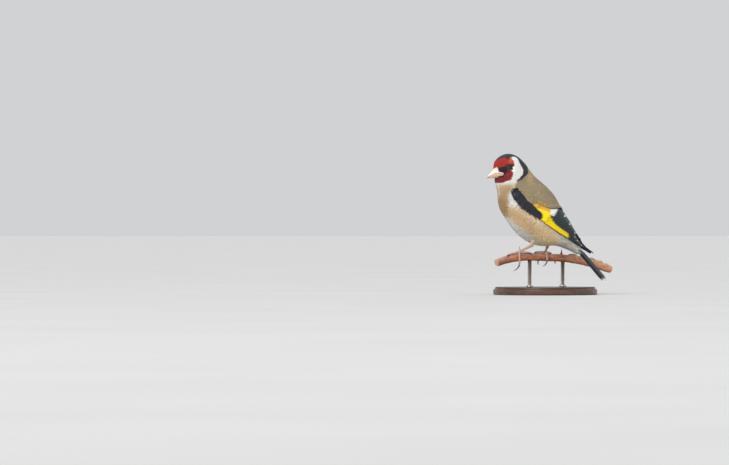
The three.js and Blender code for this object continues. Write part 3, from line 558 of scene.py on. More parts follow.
def under_colour(spot, x, z):
    """Breast, flank, belly and vent. Most steps run along or across the belly's slope, which onward and aside
    measure from the breast; left and right are the edges of the brown breast patch."""
    aside = (x + 27.7) * 0.641 + (z - 65) * 0.768
    onward = (x + 27.7) * 0.768 - (z - 65) * 0.641
    under = mix(mix(CREAM, TAN, 0.3) + 0 * spot, BELLY, smoothstep(-aside, 3.0, 7.5))
    pale = smoothstep(z, 61, 68) * (1 - smoothstep(z, 78, 82))
    pale = pale * (1 - smoothstep(x, -23, -17)) * smoothstep(aside, -1, 4)
    under = mix(under, mix(WHITE, BELLY, 0.5), 0.85 * pale)
    band = np.exp(-((aside - 0.2 * np.maximum(onward - 25, 0)) / 5.0) ** 2)
    band = band * smoothstep(onward, -5, 3) * (1 - smoothstep(onward, 40, 50))
    flank = mix(TAN + 0 * spot, FLANK, smoothstep(onward, 20, 34))
    under = mix(under, flank, 0.95 * band)
    left = -36.2 - 2.6 * (1 - smoothstep(z, 70, 78))
    right = -27.6 + 4.4 * smoothstep(z, 77.5, 81.5)
    patch = smoothstep(x - left, -1.6, 2.2) * (1 - smoothstep(x - right, -3.0, 1.0))
    patch = patch * smoothstep(z, 57.5, 64) * (1 - 0.75 * smoothstep(z, 80.5, 85.5))
    under = mix(under, mix(BREAST + 0 * spot, TAN * 0.9, smoothstep(z, 70, 82)), 0.95 * patch)
    throat_side = (1 - smoothstep(x - left, -1.0, 1.0)) * smoothstep(z, 70, 78)
    under = mix(under, mix(WHITE, BELLY, 0.4), throat_side)
    under = mix(under, mix(CREAM, BELLY, 0.6) * 0.85, smoothstep(x, 5.5, 15.0))
    streak = smoothstep(ripple(spot * [1.0, 2.2, 1.0], 2.2, 12), 0.2, 0.7)
    streak = streak * smoothstep(x, 11, 14) * (1 - smoothstep(x, 19, 22))
    return mix(under, GREY, 0.8 * streak * smoothstep(z - 38.5 + (x - 18) * 0.6, -3.5, -0.5))


def head_colour(colour, x, z, u):
    """Pale throat, white cheek, black neck bar, red face with a painted orange highlight, black crown and
    black lores, laid over the trunk's colours in that order."""
    throat = (1 - smoothstep(u, 8.6, 9.6)) * smoothstep(z, 83.6, 86.0) * (1 - smoothstep(x, -25.5, -23.5))
    colour = mix(colour, mix(CREAM, WHITE, 0.6), throat)
    from_bar = x - along_line(BAR_FRONT, z) + 0.7
    white = (1 - smoothstep(from_bar, -0.2, 0.2)) * smoothstep(z, 84.8, 86.4)
    colour = mix(colour, WHITE, white * (1 - smoothstep(u, 10.5, 11.5)))
    pale_spot = np.exp(-((x + 13.0) / 1.3) ** 2 - ((z - 98.4) / 1.6) ** 2)
    colour = mix(colour, CREAM, 0.9 * pale_spot)
    nape = np.exp(-((x + 12.0) / 2.6) ** 2 - ((z - 91.5) / 5.0) ** 2)
    colour = mix(colour, TAN, 0.6 * nape)
    bar = smoothstep(from_bar, -0.2, 0.2) * (1 - smoothstep(x - along_line(BAR_REAR, z) - 0.3, -0.3, 0.3))
    colour = mix(colour, CROWN, bar * smoothstep(z, 87.0, 87.8) * (1 - smoothstep(u, 11.2, 12.2)))
    red = 1 - smoothstep(x - along_line(RED_REAR, z), -0.2, 0.2)
    red = red * smoothstep(z - along_line(CHIN_EDGE, x), -0.2, 0.2)
    shade = mix(CHIN_RED + 0 * x[..., None], RED, smoothstep(z, 90, 98))
    # A painted orange highlight on the upper part of the red face
    painted_highlight = np.exp(-((x + 26.4) / 2.2) ** 2 - ((z - 103.0) / 2.4) ** 2)
    colour = mix(colour, mix(shade, HIGHLIGHT_ORANGE, 0.9 * painted_highlight), red)
    crown = smoothstep(z - along_line(CROWN_EDGE, x), -0.25, 0.25) * smoothstep(z, 98, 99.5)
    colour = mix(colour, CROWN, crown * (1 - smoothstep(u, 9.5, 10.5)))
    lores = smoothstep(z - along_line(LORES_LOW, x), -0.25, 0.25)
    lores = lores * (1 - smoothstep(z - along_line(LORES_TOP, x), -0.25, 0.25))
    return mix(colour, BLACK, lores * (1 - smoothstep(x, -24.9, -24.4)))


# A tuft has three points to a ring and a blade ten, two of them close to each edge so that it shades crisply;
# each is (across, under) for its ring
TUFT_RING = np.array([(-1, 0), (0, 0), (1, 0)], float)
BLADE_RING = np.array([(-1, 0.5), (-0.96, 0), (-0.5, 0), (0, 0), (0.5, 0), (0.96, 0), (1, 0.5),
                       (0.96, 1), (0, 1), (-0.96, 1)], float)
# Where a tuft's four rings stand along it, and how light each is: painted shade, darkest at the root where
# the tufts overlap
TUFT_STEPS = (0, 0.35, 0.78, 1)
TUFT_PAINTED_SHADE = (0.92, 0.98, 1.0, 1.02)


def vane_outline(a, fullness):
    """Half width along a feather: the root widens as a power of a, and a quarter circle rounds the tip."""
    widening = np.minimum(a / 0.35, 1.0) ** 0.7 * 0.75 + 0.25
    tip = np.sqrt(np.clip(1 - (np.clip(a - fullness, 0, 1) / (1 - fullness)) ** 2, 0.02, 1))
    return widening * tip


def feathers(surface, p, q, length, width, angle, rise, ring, steps, thick, fullness, arch):
    """Feathers on a surface of two parameters. A feather's own place (length times a, half width times b) is
    turned by angle and divided by the surface's slopes, so that it follows the curve. Its height grows from
    root to tip with the square root of a, less arch times width times b squared, less its thickness."""
    a, b, under = np.asarray(steps, float)[:, None], ring[:, 0], ring[:, 1]

    def each(values):
        """One value for each feather, ready to be spread over its rows and rings."""
        return np.broadcast_to(np.asarray(values, float), (len(p),))[:, None, None]

    forward = each(length) * a + 0 * b
    aside = each(width) / 2 * vane_outline(a, fullness) * b
    cosine, sine = np.cos(each(angle)), np.sin(each(angle))
    slope_p, slope_q = surface_slopes(surface, p, q)
    along = each(p) + (forward * cosine - aside * sine) / each(np.maximum(slope_p, 0.2))
    across = each(q) + (forward * sine + aside * cosine) / each(np.maximum(slope_q, 0.2))
    start, end = (each(value) for value in rise)
    height = start + (end - start) * np.sqrt(a) - arch * each(width) * b ** 2 - thick * under
    return surface(along, across, height + 0 * forward), np.stack([aside, forward], -1)


def surface_slopes(surface, p, q, step=0.02):
    """Millimetres over a surface for each unit of its two parameters, from points a step before and after."""
    level = np.zeros(len(p))
    onward = surface(p + step, q, level) - surface(p - step, q, level)
    around = surface(p, q + step, level) - surface(p, q - step, level)
    return np.linalg.norm(onward, axis=-1) / (2 * step), np.linalg.norm(around, axis=-1) / (2 * step)


def seeds(surface, p_range, q_range, row_gap, side_gap, rng):
    """Roots in staggered rows: rows stand row_gap apart where the surface is longest, each row is filled at
    side_gap along its own length, and roots are thinned where the rows run closer."""
    p_fine = np.linspace(*p_range, 400)
    q_fine = np.linspace(*q_range, 160)
    grid_p, grid_q = grid(p_fine, q_fine)
    places = surface(grid_p, grid_q, np.zeros_like(grid_p))
    onward = np.linalg.norm(np.diff(places, axis=0), axis=-1)
    longest = np.concatenate([[0], np.cumsum(onward.max(1) / row_gap((p_fine[1:] + p_fine[:-1]) / 2))])
    count = int(longest[-1])
    roots_p, roots_q = [], []
    for k, row in enumerate(np.interp(np.arange(count) + 0.5, longest, p_fine)):
        line = surface(np.full_like(q_fine, row), q_fine, np.zeros_like(q_fine))
        reach = np.concatenate([[0], np.cumsum(np.linalg.norm(np.diff(line, axis=0), axis=-1))])
        n = max(int(reach[-1] / float(side_gap(row))), 3)
        q = np.interp((np.arange(n) + 0.5 * (k % 2) + 0.25) / n * reach[-1], reach, q_fine)
        i = np.clip(np.searchsorted(p_fine, row) - 1, 0, len(p_fine) - 2)
        local = np.interp(q, q_fine, onward[i])
        keep = rng.random(n) < np.clip(local / onward[i].max() * 1.15, 0.25, 1)
        roots_p.append(np.full(keep.sum(), row))
        roots_q.append(q[keep])
    p, q = np.concatenate(roots_p), np.concatenate(roots_q)
    p = p + rng.uniform(-0.4, 0.4, len(p)) * ((p_range[1] - p_range[0]) / count)
    return p, q + rng.uniform(-0.5, 0.5, len(p)) * ((q_range[1] - q_range[0]) / 160)


def in_chunks(shape, most=190000):
    """A shape of many closed tufts cut into shapes of at most so many triangles, tuft by tuft."""
    points_each, faces_each = shape.pop("each")
    tufts = len(shape["faces"]) // faces_each
    per = most // faces_each
    for start in range(0, tufts, per):
        stop = min(start + per, tufts)
        part = {n: v[start * points_each:stop * points_each] for n, v in shape.items() if n != "faces"}
        part["faces"] = shape["faces"][start * faces_each:stop * faces_each] - start * points_each
        yield part


def coat(surface, p, q, length, width, angle, rise, tint, unwrap, rng):
    """Small feathers as closed tufts of twenty triangles, each with its own colour, darker at the root as
    painted shade.
    """
    points, vane = feathers(surface, p, q, length, width, angle, rise, TUFT_RING, TUFT_STEPS, 0.0, 0.62, 0.1)
    # Each tuft's random tone, times the painted shade that darkens its root
    shade = rng.normal(1.0, 0.03, (len(p), 1, 1, 1)) * np.array(TUFT_PAINTED_SHADE)[:, None, None]
    colour = np.clip(tint[:, None, None, :] * shade, 0, 1)
    rows, across = grid(np.linspace(-1, 1, len(TUFT_STEPS)), TUFT_RING[:, 0])
    bake = np.stack(unwrap(p, q), -1)[:, None, None, :] + np.stack([across, rows], -1) * 0.0015
    shape = tubes(points, colour=colour, vane=vane, bake=bake)
    shape["each"] = (len(shape["points"]) // len(p), len(shape["faces"]) // len(p))
    return shape


def wing_measures(points):
    """Where points lie on the wing of their own side: along it, up it and under its shell; then that wing,
    and its lower and upper edge there."""
    x, y, z = np.moveaxis(points, -1, 0)
    s, y = x * np.cos(BODY_YAW) + y * np.sin(BODY_YAW), y * np.cos(BODY_YAW) - x * np.sin(BODY_YAW)
    along, up, depth = wing_coordinates(s, y, z)
    left, right = WINGS["left"], WINGS["right"]
    wing = {key: np.where(y > 0, right[key], left[key]) for key in left}
    low, high = wing_edges(wing, np.clip(along, wing["front"], wing["tip"]))
    return along, up, depth, wing, low, high


def body_unwrap(u, t):
    """The body's own unwrap: round it across, and from bill to tail upwards."""
    return 0.02 + 0.96 * (t / (2 * np.pi) % 1.0), 0.02 + 0.96 * u / TAIL_END


def wing_unwrap(along, up):
    """The wing's own unwrap: its length across and its height upwards."""
    return 0.05 + 0.9 * (along + 25) / 90, 0.05 + 0.9 * (up + 30) / 40


def thigh_unwrap(along, turn):
    """The thigh's unwrap: along it across, and round it upwards."""
    return 0.1 + 0.1 * along, 0.3 + 0.1 * (turn / (2 * np.pi) + 0.5)


# Lower edge of the scapulars on the folded wing: place along it, height across it
SCAPULAR_EDGE = [[-24, -14.0], [-16, -15.0], [-9, -15.9], [-4, -16.5], [-2, -14.4], [1.3, -11.4], [7.7, -9.0],
                 [14, -6.8], [19, -3.4], [62, 8.0]]


def wing_cover(points):
    """How far inside the wing's outline points lie in the side view (negative outside it), and how far above
    the scapulars' lower edge."""
    along, up, _, wing, low, high = wing_measures(points)
    ends = np.minimum(along - wing["front"], wing["tip"] - along)
    inside = np.minimum(np.minimum(up - low, high - up), ends)
    return inside, up - along_line(SCAPULAR_EDGE, along)


def wing_climb(u, t):
    """How far the coat climbs to lie over the wing: the wing's height over the body times a smooth step that
    starts above the wing's upper edge."""
    along, up, depth, wing, low, high = wing_measures(body_point(u, t))
    rise = (1 - smoothstep(up - high, 0.0, 4.0)) * smoothstep(up - low, 0.0, 3.0)
    rise = rise * smoothstep(along, wing["front"] - 4, wing["front"]) * (1 - smoothstep(along, 16, 22))
    return rise * (np.clip(depth, 0, 4) + 1.0)


def clothed_surface(u, t, height):
    """The body's surface with the scapulars' climb onto the folded wings."""
    return body_surface(u, t, height + wing_climb(u, t))


def eye_distance(u, t):
    """Distance from the eye's axis in the head's middle plane, large on the neck and trunk."""
    s, _, z = body_local(u, t)
    return np.where(u < 7, np.hypot(s - EYE["s"], z - EYE["z"]), 99.0)


def set_inputs(tree, node, sources, values):
    """Sets a node: values go to the inputs or settings of that name, then sources to its inputs in order.
    A socket is linked, anything else is set."""

    def fill(socket, value):
        """Links a socket or sets its value."""
        if isinstance(value, bpy.types.NodeSocket):
            tree.links.new(value, socket)
        else:
            socket.default_value = value

    for key, value in values.items():
        socket = node.inputs.get(key.replace("_", " "))
        if socket is None:
            setattr(node, key, value)
        else:
            fill(socket, value)
    for i, source in enumerate(sources):
        fill(node.inputs[i], source)


# Materials


def new_material(name):
    """A node material, a function that adds a node to it and one that sets its Principled shader."""
    made = bpy.data.materials.new(name)
    made.use_nodes = True
    tree = made.node_tree

    def node(kind, place, *sources, **values):
        """A node of a kind, at a place in the editor."""
        new = tree.nodes.new("ShaderNode" + kind)
        new.location = place
        set_inputs(tree, new, sources, values)
        return new

    def shade(**values):
        """Sets inputs of the Principled shader."""
        set_inputs(tree, tree.nodes["Principled BSDF"], (), values)

    return made, node, shade


def noise(node, place, scale, detail, stretch=None, turn=(0.0, 0.0, 0.0), **values):
    """Noise over the object's own coordinates, which may be stretched and turned first."""
    where = node("TexCoord", (-1300, place[1])).outputs["Object"]
    if stretch:
        mapping = node("Mapping", (-1100, place[1]), Vector=where, Scale=stretch, Rotation=turn)
        where = mapping.outputs["Vector"]
    return node("TexNoise", place, Vector=where, Scale=scale, Detail=detail, **values).outputs["Fac"]


def spread(node, place, value, low, high, start=0.0, end=1.0):
    """A number between start and end, moved to lie between low and high."""
    made = node("MapRange", place, Value=value, From_Min=start, From_Max=end, To_Min=low, To_Max=high)
    return made.outputs["Result"]


def tinted(node, light):
    """The tint attribute times a number."""
    tint = node("Attribute", (-500, 250), attribute_name="tint").outputs["Color"]
    return node("VectorMath", (-250, 250), operation="SCALE", Vector=tint, Scale=light).outputs["Vector"]


def relief(node, height, strength, distance):
    """A normal bumped by a height."""
    return node("Bump", (-250, -250), Height=height, Strength=strength, Distance=distance).outputs["Normal"]


def ramp(node, place, fac, *stops):
    """A colour ramp over a number, with the given (place, colour) stops."""
    made = node("ValToRGB", place, fac)
    elements = made.color_ramp.elements
    while len(elements) < len(stops):
        elements.new(0.5)
    for element, (where, colour) in zip(elements, stops):
        element.position = where
        element.color = (*colour, 1.0)
    return made.outputs["Color"]


def plumage_material(name, roughness, barb_gap, barb_depth, sheen):
    """Feather: the tint attribute, mottled a little, with fine slanting barbs on both sides of the shaft."""
    made, node, shade = new_material(name)
    speckle = spread(node, (-700, 0), noise(node, (-900, 0), 900.0, 3.0, Roughness=0.6), 0.86, 1.12)
    vane = node("UVMap", (-1500, -400), uv_map="Vane").outputs["UV"]
    place = node("SeparateXYZ", (-1300, -400), vane).outputs
    side = node("Math", (-1100, -400), place["X"], operation="ABSOLUTE").outputs[0]
    slant = node("Math", (-900, -400), side, -1.1, place["Y"], operation="MULTIPLY_ADD").outputs[0]
    turns = node("Math", (-700, -400), slant, 2 * np.pi / barb_gap, operation="MULTIPLY").outputs[0]
    barbs = node("Math", (-500, -400), turns, operation="SINE").outputs[0]
    streak = spread(node, (-300, -400), barbs, 0.9, 1.06, -1.0)
    light = node("Math", (-500, 0), speckle, streak, operation="MULTIPLY").outputs[0]
    shade(Base_Color=tinted(node, light), Normal=relief(node, barbs, barb_depth, 0.0001), Roughness=roughness,
          Specular_IOR_Level=0.3, Sheen_Weight=sheen, Sheen_Roughness=0.5)
    return made


def horn_material(name, roughness, coat_weight, grain, depth):
    """Horn or scaled skin: the tint attribute with a fine mottle, a slight gloss and a fine relief."""
    made, node, shade = new_material(name)
    mottle = noise(node, (-900, 0), grain, 4.0, Roughness=0.55)
    shade(Base_Color=tinted(node, spread(node, (-700, 0), mottle, 0.82, 1.14)),
          Normal=relief(node, mottle, depth, 0.0001), Roughness=roughness, Coat_Weight=coat_weight,
          Coat_Roughness=0.2)
    return made


def bark_material():
    """Bark: the tint attribute, broken by streaks and pores at two sizes, with a matching relief."""
    made, node, shade = new_material("bark")
    fibre = noise(node, (-900, 150), 1.0, 6.0, (90.0, 700.0, 700.0), (0.0, 0.0, -0.5), Roughness=0.65)
    pores = noise(node, (-900, -150), 1500.0, 3.0)
    both = node("Math", (-700, 0), pores, 0.35, fibre, operation="MULTIPLY_ADD").outputs[0]
    shade(Base_Color=tinted(node, spread(node, (-500, 0), both, 0.68, 1.28, 0.45, 0.9)),
          Normal=relief(node, both, 0.7, 0.0003), Roughness=0.82)
    return made


def stand_wood_material():
    """Dark stained wood under satin lacquer: stretched noise for the grain, with a light coat."""
    made, node, shade = new_material("stand_wood")
    grain = noise(node, (-700, 0), 1.0, 7.0, (28.0, 420.0, 420.0), Roughness=0.6, Distortion=0.6)
    colours = ramp(node, (-500, 0), grain, (0.3, linear(52, 33, 22)), (0.52, linear(84, 54, 36)),
                   (0.75, linear(108, 72, 48)))
    shade(Base_Color=colours, Normal=relief(node, grain, 0.15, 0.0002), Roughness=0.42, Coat_Weight=0.35,
          Coat_Roughness=0.25)
    return made


def brushed_metal_material():
    """Steel rod with fine brush lines round it."""
    made, node, shade = new_material("stand_metal")
    lines = noise(node, (-500, 0), 1.0, 4.0, (60.0, 60.0, 6000.0))
    colours = ramp(node, (-300, 100), lines, (0.3, (0.5, 0.49, 0.46)), (0.7, (0.68, 0.66, 0.62)))
    shade(Base_Color=colours, Normal=relief(node, lines, 0.2, 0.00005), Metallic=1.0, Roughness=0.32)
    return made


def eye_material():
    """Wet eye: the tint attribute under a clear glossy coat."""
    made, node, shade = new_material("eye")
    tint = node("Attribute", (-300, 0), attribute_name="tint").outputs["Color"]
    shade(Base_Color=tint, Roughness=0.12, Specular_IOR_Level=0.1, Coat_Weight=1.0, Coat_Roughness=0.02)
    return made


def floor_material():
    """Matt pale paper with the faintest mottle."""
    made, node, shade = new_material("floor")
    mottle = noise(node, (-500, 0), 6.0, 2.0)
    shade(Base_Color=ramp(node, (-300, 0), mottle, (0.3, (0.62, 0.62, 0.61)), (0.7, (0.65, 0.65, 0.64))),
          Roughness=0.9)
    return made


# Sizes and colours that a user would change


class GoldfinchCoat(bpy.types.PropertyGroup):
    """Sizes of the small feathers."""

    face_length: FloatProperty(
        name="Face feather", description="Length of the smallest feathers, at the bill",
        default=0.0011, min=0.0004, unit="LENGTH", precision=4)
    crown_length: FloatProperty(
        name="Crown feather", description="Length of the feathers on the crown and nape",
        default=0.0026, min=0.0006, unit="LENGTH", precision=4)
    body_length: FloatProperty(
        name="Body feather", description="Length of the feathers on the back and belly",
        default=0.0058, min=0.001, unit="LENGTH", precision=4)
    ruffle: FloatProperty(
        name="Ruffle", description="How far feathers turn from the lie of the coat",
        default=float(np.radians(9)), min=0.0, subtype="ANGLE")
    seed: IntProperty(name="Seed", description="Start of the random spread of the feathers", default=11)


class GoldfinchStage(bpy.types.PropertyGroup):
    """Light and background."""

    backdrop: FloatVectorProperty(
        name="Backdrop", description="Colour of the light all round",
        default=(0.86, 0.87, 0.88), subtype="COLOR", min=0.0, max=1.0)
    key_power: FloatProperty(
        name="Key light", description="Strength of the broad light from the upper left",
        default=1.6, min=0.0)
    distance: FloatProperty(
        name="Camera distance", description="How far the camera stands in front of the perch",
        default=3.5, min=1.0, unit="LENGTH")


class GOLDFINCH_OT_skin(bpy.types.Operator):
    """Lay the one skin of head, neck, trunk and thighs, inside the coat's depth"""

    bl_idname = "goldfinch.skin"
    bl_label = "Skin"

    def execute(self, context):
        u, t = grid(np.linspace(0.04, TAIL_END - 0.04, 260), circle(96))
        signed = np.where(t > np.pi, t - 2 * np.pi, t)
        depth = coat_depth(u, 0.4, 0.62)
        depth = depth + 2.4 * smoothstep(wing_cover(body_point(u, signed))[0], 0.4, 3.0)
        bake = np.stack(body_unwrap(u, t), -1)
        # The coat's colours, darkened as painted shade between the tufts
        colour = coat_colour(u, signed) * SKIN_PAINTED_SHADE
        parts = [tube(body_surface(u, t, -depth), colour=colour, vane=bake * 100, bake=bake)]
        p, q = grid(np.linspace(0, 1, 20), circle(24))
        bake = np.stack(grid(np.linspace(0.1, 0.2, 20), np.linspace(0.3, 0.4, 24)), -1)
        for leg in LEGS.values():
            rings = thigh_surface(leg)(p, q, np.full(p.shape, -0.45))
            # Cream, darkened as painted shade between the thigh's tufts
            colour = np.broadcast_to(CREAM * SKIN_PAINTED_SHADE, rings.shape)
            parts.append(tube(rings, colour=colour, vane=bake * 100, bake=bake))
        skin = plumage_material("skin_down", 0.9, 0.5, 0.3, 0.2)
        nodes = ("head", "neck", "torso", "thigh_left", "thigh_right")
        put_piece("skin", merged(parts), skin, nodes)
        return {"FINISHED"}


def thigh_surface(leg):
    """Tapering thigh: a line from inside the belly to the heel, bent a little, with a falling radius."""
    s, y, z = leg["heel"]
    stops = bird_point(np.array([s + 3.4, s + 1.6, s]), np.array([y * 1.25, y * 1.12, y]),
                       np.array([z + 8.0, z + 4.0, z + 0.9]))
    rows = np.concatenate([stops, [[3.3], [2.3], [1.3]]], 1)
    length = np.linalg.norm(stops[2] - stops[0])
    axis = unit(stops[2] - stops[0])
    one = unit(np.cross(axis, [0.0, 0.0, 1.0]))
    other = np.cross(axis, one)

    def surface(p, q, height):
        """The point at share p of the thigh's line and angle q round it, at its radius plus height."""
        values = along_rows(rows, np.clip(p, 0, 1) * 2)
        centre = values[..., :3] + axis * (p - np.clip(p, 0, 1))[..., None] * length
        radius = (values[..., 3] + height)[..., None]
        return centre + (one * np.cos(q)[..., None] + other * np.sin(q)[..., None]) * radius

    return surface


# The coat's zones: title, stations, gap of rows and of roots as shares of the feathers' length, slot
COAT_ZONES = [
    ("coat_head", (0.75, 7.6), 0.21, 0.12, "head_plumage"),
    ("coat_body", (7.6, 22.4), 0.2, 0.11, "body_plumage"),
]


def body_coat(sizes, stations, row_share, side_share, rng):
    """Tufts over the body between two stations. Their length grows from face to crown to body by smooth
    steps. It is cut back, or the tuft left out, where it would lie over a wing's bare part or the eye."""
    lengths = [size / MM for size in (sizes.face_length, sizes.crown_length, sizes.body_length)]

    def length_at(u):
        """Feather length at a station."""
        grown = mix(lengths[0], lengths[1], smoothstep(u, 0.6, 6.5))
        return mix(grown, lengths[2], smoothstep(u, 7.0, 14.0))

    p, q = seeds(clothed_surface, stations, (-np.pi, np.pi), lambda u: length_at(u) * row_share,
                 lambda u: length_at(u) * side_share, rng)
    q = (q + np.pi) % (2 * np.pi) - np.pi
    length = length_at(p) * rng.uniform(0.85, 1.15, len(p))
    width = length * mix(0.42, 0.5, smoothstep(p, 7, 12))
    angle = rng.normal(0, sizes.ruffle, len(p))
    onward = body_surface(p + 0.05, q, 0 * p) - body_surface(p - 0.05, q, 0 * p)
    slopes = np.maximum(np.linalg.norm(onward, axis=-1) / 0.1, 0.5)
    shares = np.array([0.3, 0.5, 0.75, 1.0])[:, None]
    inside, above = wing_cover(clothed_surface(p + shares * length / slopes, q, 0 * p))
    longest = (np.cumprod((inside < 0.4) | (above > 0.0), axis=0) * shares).max(0)
    inside, above = wing_cover(clothed_surface(p, q, 0 * p))
    keep = ((inside < 0.3) | (above > 0.2)) & (longest > 0)
    length = length * longest
    near = eye_distance(p, q)
    closing = (near < 5.0) & (near - eye_distance(p + 0.05, q) > 0)
    length = np.where(closing, np.minimum(length, np.maximum(near - 2.5, 0.0)), length)
    keep &= (near > 2.55) & (length > 0.3)
    p, q, length, width, angle, slopes = (x[keep] for x in (p, q, length, width, angle, slopes))
    tint = coat_colour(p + 0.8 * length / slopes, q)
    rise = (-coat_depth(p, 0.36, 0.56), rng.normal(-0.05, 0.03, len(p)) + 0.012 * length)
    return coat(clothed_surface, p, q, length, width, angle, rise, tint, body_unwrap, rng)


def thigh_coat(leg, rng):
    """Tufts over a thigh, shorter towards the heel."""
    surface = thigh_surface(leg)
    p, q = seeds(surface, (0.0, 0.98), (-np.pi, np.pi), lambda u: 0.7 + 0 * u, lambda u: 0.5, rng)
    length = rng.uniform(2.2, 3.2, len(p)) * mix(1.0, 0.5, p)
    tint = mix(CREAM, TAN, 0.35) * 0.92 + np.zeros((len(p), 3))
    angle = rng.normal(0, 0.2, len(p))
    return coat(surface, p, q, length, length * 0.42, angle, (-0.3, 0.0), tint, thigh_unwrap, rng)


class GOLDFINCH_OT_coat(bpy.types.Operator):
    """Grow the small feathers of head, trunk and thighs over the skin"""

    bl_idname = "goldfinch.coat"
    bl_label = "Coat"

    def execute(self, context):
        sizes = context.scene.goldfinch_coat
        rng = np.random.default_rng(sizes.seed)
        material = plumage_material("coat_feathers", 0.82, 0.22, 0.25, 0.12)
        for title, stations, row_share, side_share, slot in COAT_ZONES:
            shape = body_coat(sizes, stations, row_share, side_share, rng)
            for i, part in enumerate(in_chunks(shape)):
                put_piece(f"{title}_{i + 1}", part, material)
        for name, leg in LEGS.items():
            for part in in_chunks(thigh_coat(leg, rng)):
                put_piece(f"coat_thigh_{name}", part, material)
        return {"FINISHED"}


# Flight feathers from the topmost tertial down: share of the wing's height at root and tip, the tip's place
TERTIALS = [(0.8, 0.74, 23.0), (0.68, 0.66, 30.0), (0.56, 0.6, 38.0)]
SECONDARIES = [(0.5, 0.55, 34.5), (0.45, 0.5, 35.3), (0.4, 0.46, 36.2), (0.35, 0.42, 37.0),
               (0.31, 0.38, 37.8), (0.27, 0.35, 38.6)]
PRIMARIES = [(0.235, 0.31, 39.4), (0.2, 0.28, 40.4), (0.17, 0.25, 41.5), (0.14, 0.215, 42.9),
             (0.11, 0.175, 44.5), (0.08, 0.13, 46.3), (0.05, 0.085, 48.0), (0.025, 0.04, 49.3),
             (0.0, 0.0, 50.0)]
FLIGHT_ROOT = -4.0
FIRST_SECONDARY = len(TERTIALS)
FIRST_PRIMARY = len(TERTIALS + SECONDARIES)
WHITE_TIPPED = (9, 12, 15)


def flight_feathers(wing):
    """Folded flight feathers: each lower edge runs at its share of the wing's height and the vane reaches up
    under the neighbour above it. Its depth grows with the distance from that edge, as in shingles."""
    feathers_down = np.array(TERTIALS + SECONDARIES + PRIMARIES)
    number = np.arange(len(feathers_down))
    a = 1 - (1 - np.linspace(0, 1, 34)) ** 1.5
    b, under = BLADE_RING[:, 0] * 0.5 + 0.5, BLADE_RING[:, 1]
    root, end, tip = (feathers_down[:, k, None] for k in range(3))
    drawn = FLIGHT_ROOT + (tip - FLIGHT_ROOT) * a
    along = wing_place(wing, drawn)
    low, up = wing_edges(wing, along)
    tall = up - low
    share = root + (end - root) * a
    natural = np.where(number < FIRST_SECONDARY, 6.8, np.where(number < FIRST_PRIMARY, 5.2, 3.9))[:, None]
    width = np.clip(np.minimum(natural, (0.99 - share) * tall), 0.4, None)
    rounded = np.where(number < FIRST_PRIMARY, 0.9, 0.82)[:, None]
    narrow = np.sqrt(np.clip(1 - (np.clip(a - rounded, 0, 1) / (1 - rounded)) ** 2, 0.015, 1))
    start = low + share * tall + width * (1 - narrow) * 0.42
    across = start[..., None] + (width * narrow)[..., None] * b
    exposed = np.maximum(np.diff(share, axis=0, prepend=share[:1] + 0.25) * -tall, 0.5)
    depth = 0.1 + 0.2 * (across - (low + share * tall)[..., None]) / exposed[..., None]
    depth = np.minimum(depth, 1.7) + 0.09 * under
    shaft = np.exp(-((b - 0.38) / 0.06) ** 2) * 0.05
    points = wing_point(wing, along[..., None] + 0 * across, across, shaft - depth)
    run = drawn[..., None] + 0 * across
    length = (wing_place(wing, tip) - wing_place(wing, FLIGHT_ROOT))[..., None]
    left = (1 - a)[:, None] * length + 0 * across
    kind = number[:, None, None] + 0 * across
    colour = flight_colour(kind, run, left, b + 0 * across, across - low[..., None])
    vane = np.stack([(b - 0.38) * width[..., None], a[:, None] * length + 0 * across], -1)
    return tubes(points, colour=colour, vane=vane, bake=np.stack(wing_unwrap(run, across), -1))


# Height of the yellow strip over the wing's lower edge, along the drawn wing
YELLOW_TOP = [[6, 8.0], [11.4, 6.8], [14.3, 5.0], [19.3, 3.8], [26.3, 3.4], [32, 3.2], [34, 1.6]]


def flight_colour(kind, run, left, b, height):
    """Black vanes, yellow below a curve over the wing's lower edge; some tips and the tertials' bases are
    white."""
    edge = along_line(YELLOW_TOP, run)
    yellow = (1 - smoothstep(height - edge, -0.3, 0.3)) * (1 - smoothstep(run, 33.4, 34.4))
    colour = mix(VANE_BLACK + 0 * run[..., None], YELLOW, yellow * (kind >= FIRST_SECONDARY))
    base = smoothstep(run, 6, 8) * (1 - smoothstep(run, 13.6, 14.6)) * smoothstep(height, 7.0, 8.0)
    colour = mix(colour, WHITE, base * (kind <= FIRST_SECONDARY))
    spot = np.where(kind < FIRST_SECONDARY, 1.5, np.where(np.isin(kind, WHITE_TIPPED), 1.2, 0.01))
    tip = (1 - smoothstep(left, spot * 0.75, spot)) * (1 - smoothstep(np.abs(b - 0.35), 0.15, 0.35))
    return mix(colour, WHITE, tip)


# Coverts: root and tip along the drawn wing, lowest and highest share, count, how far the tip stands out
COVERTS = {
    "greater": (-6.0, 12.5, 0.04, 0.97, 12, 0.3),
    "primary": (-10.0, 7.2, 0.0, 0.4, 8, 0.5),
    "median": (-11.0, -1.0, 0.2, 0.98, 9, 0.58),
    "lesser_4": (-14.0, -5.5, 0.06, 0.96, 11, 0.66),
    "lesser_3": (-17.0, -9.5, 0.06, 0.96, 11, 0.74),
    "lesser_2": (-20.0, -13.0, 0.06, 0.96, 10, 0.82),
    "lesser_1": (-24.6, -16.5, 0.0, 1.0, 8, 0.9),
}
# Over the wing's lower edge, along it: top of the black coverts, and the line between yellow and gold
BLACK_TOP = [[-6, 7.2], [-3.2, 6.7], [1.1, 5.7], [4.4, 5.2], [6.6, 4.2], [7.8, 1.5], [8.2, -2.0]]
GOLD_LINE = [[-4, 5.6], [2.3, 6.9], [6.8, 7.9], [11.2, 8.7], [14, 9.2]]


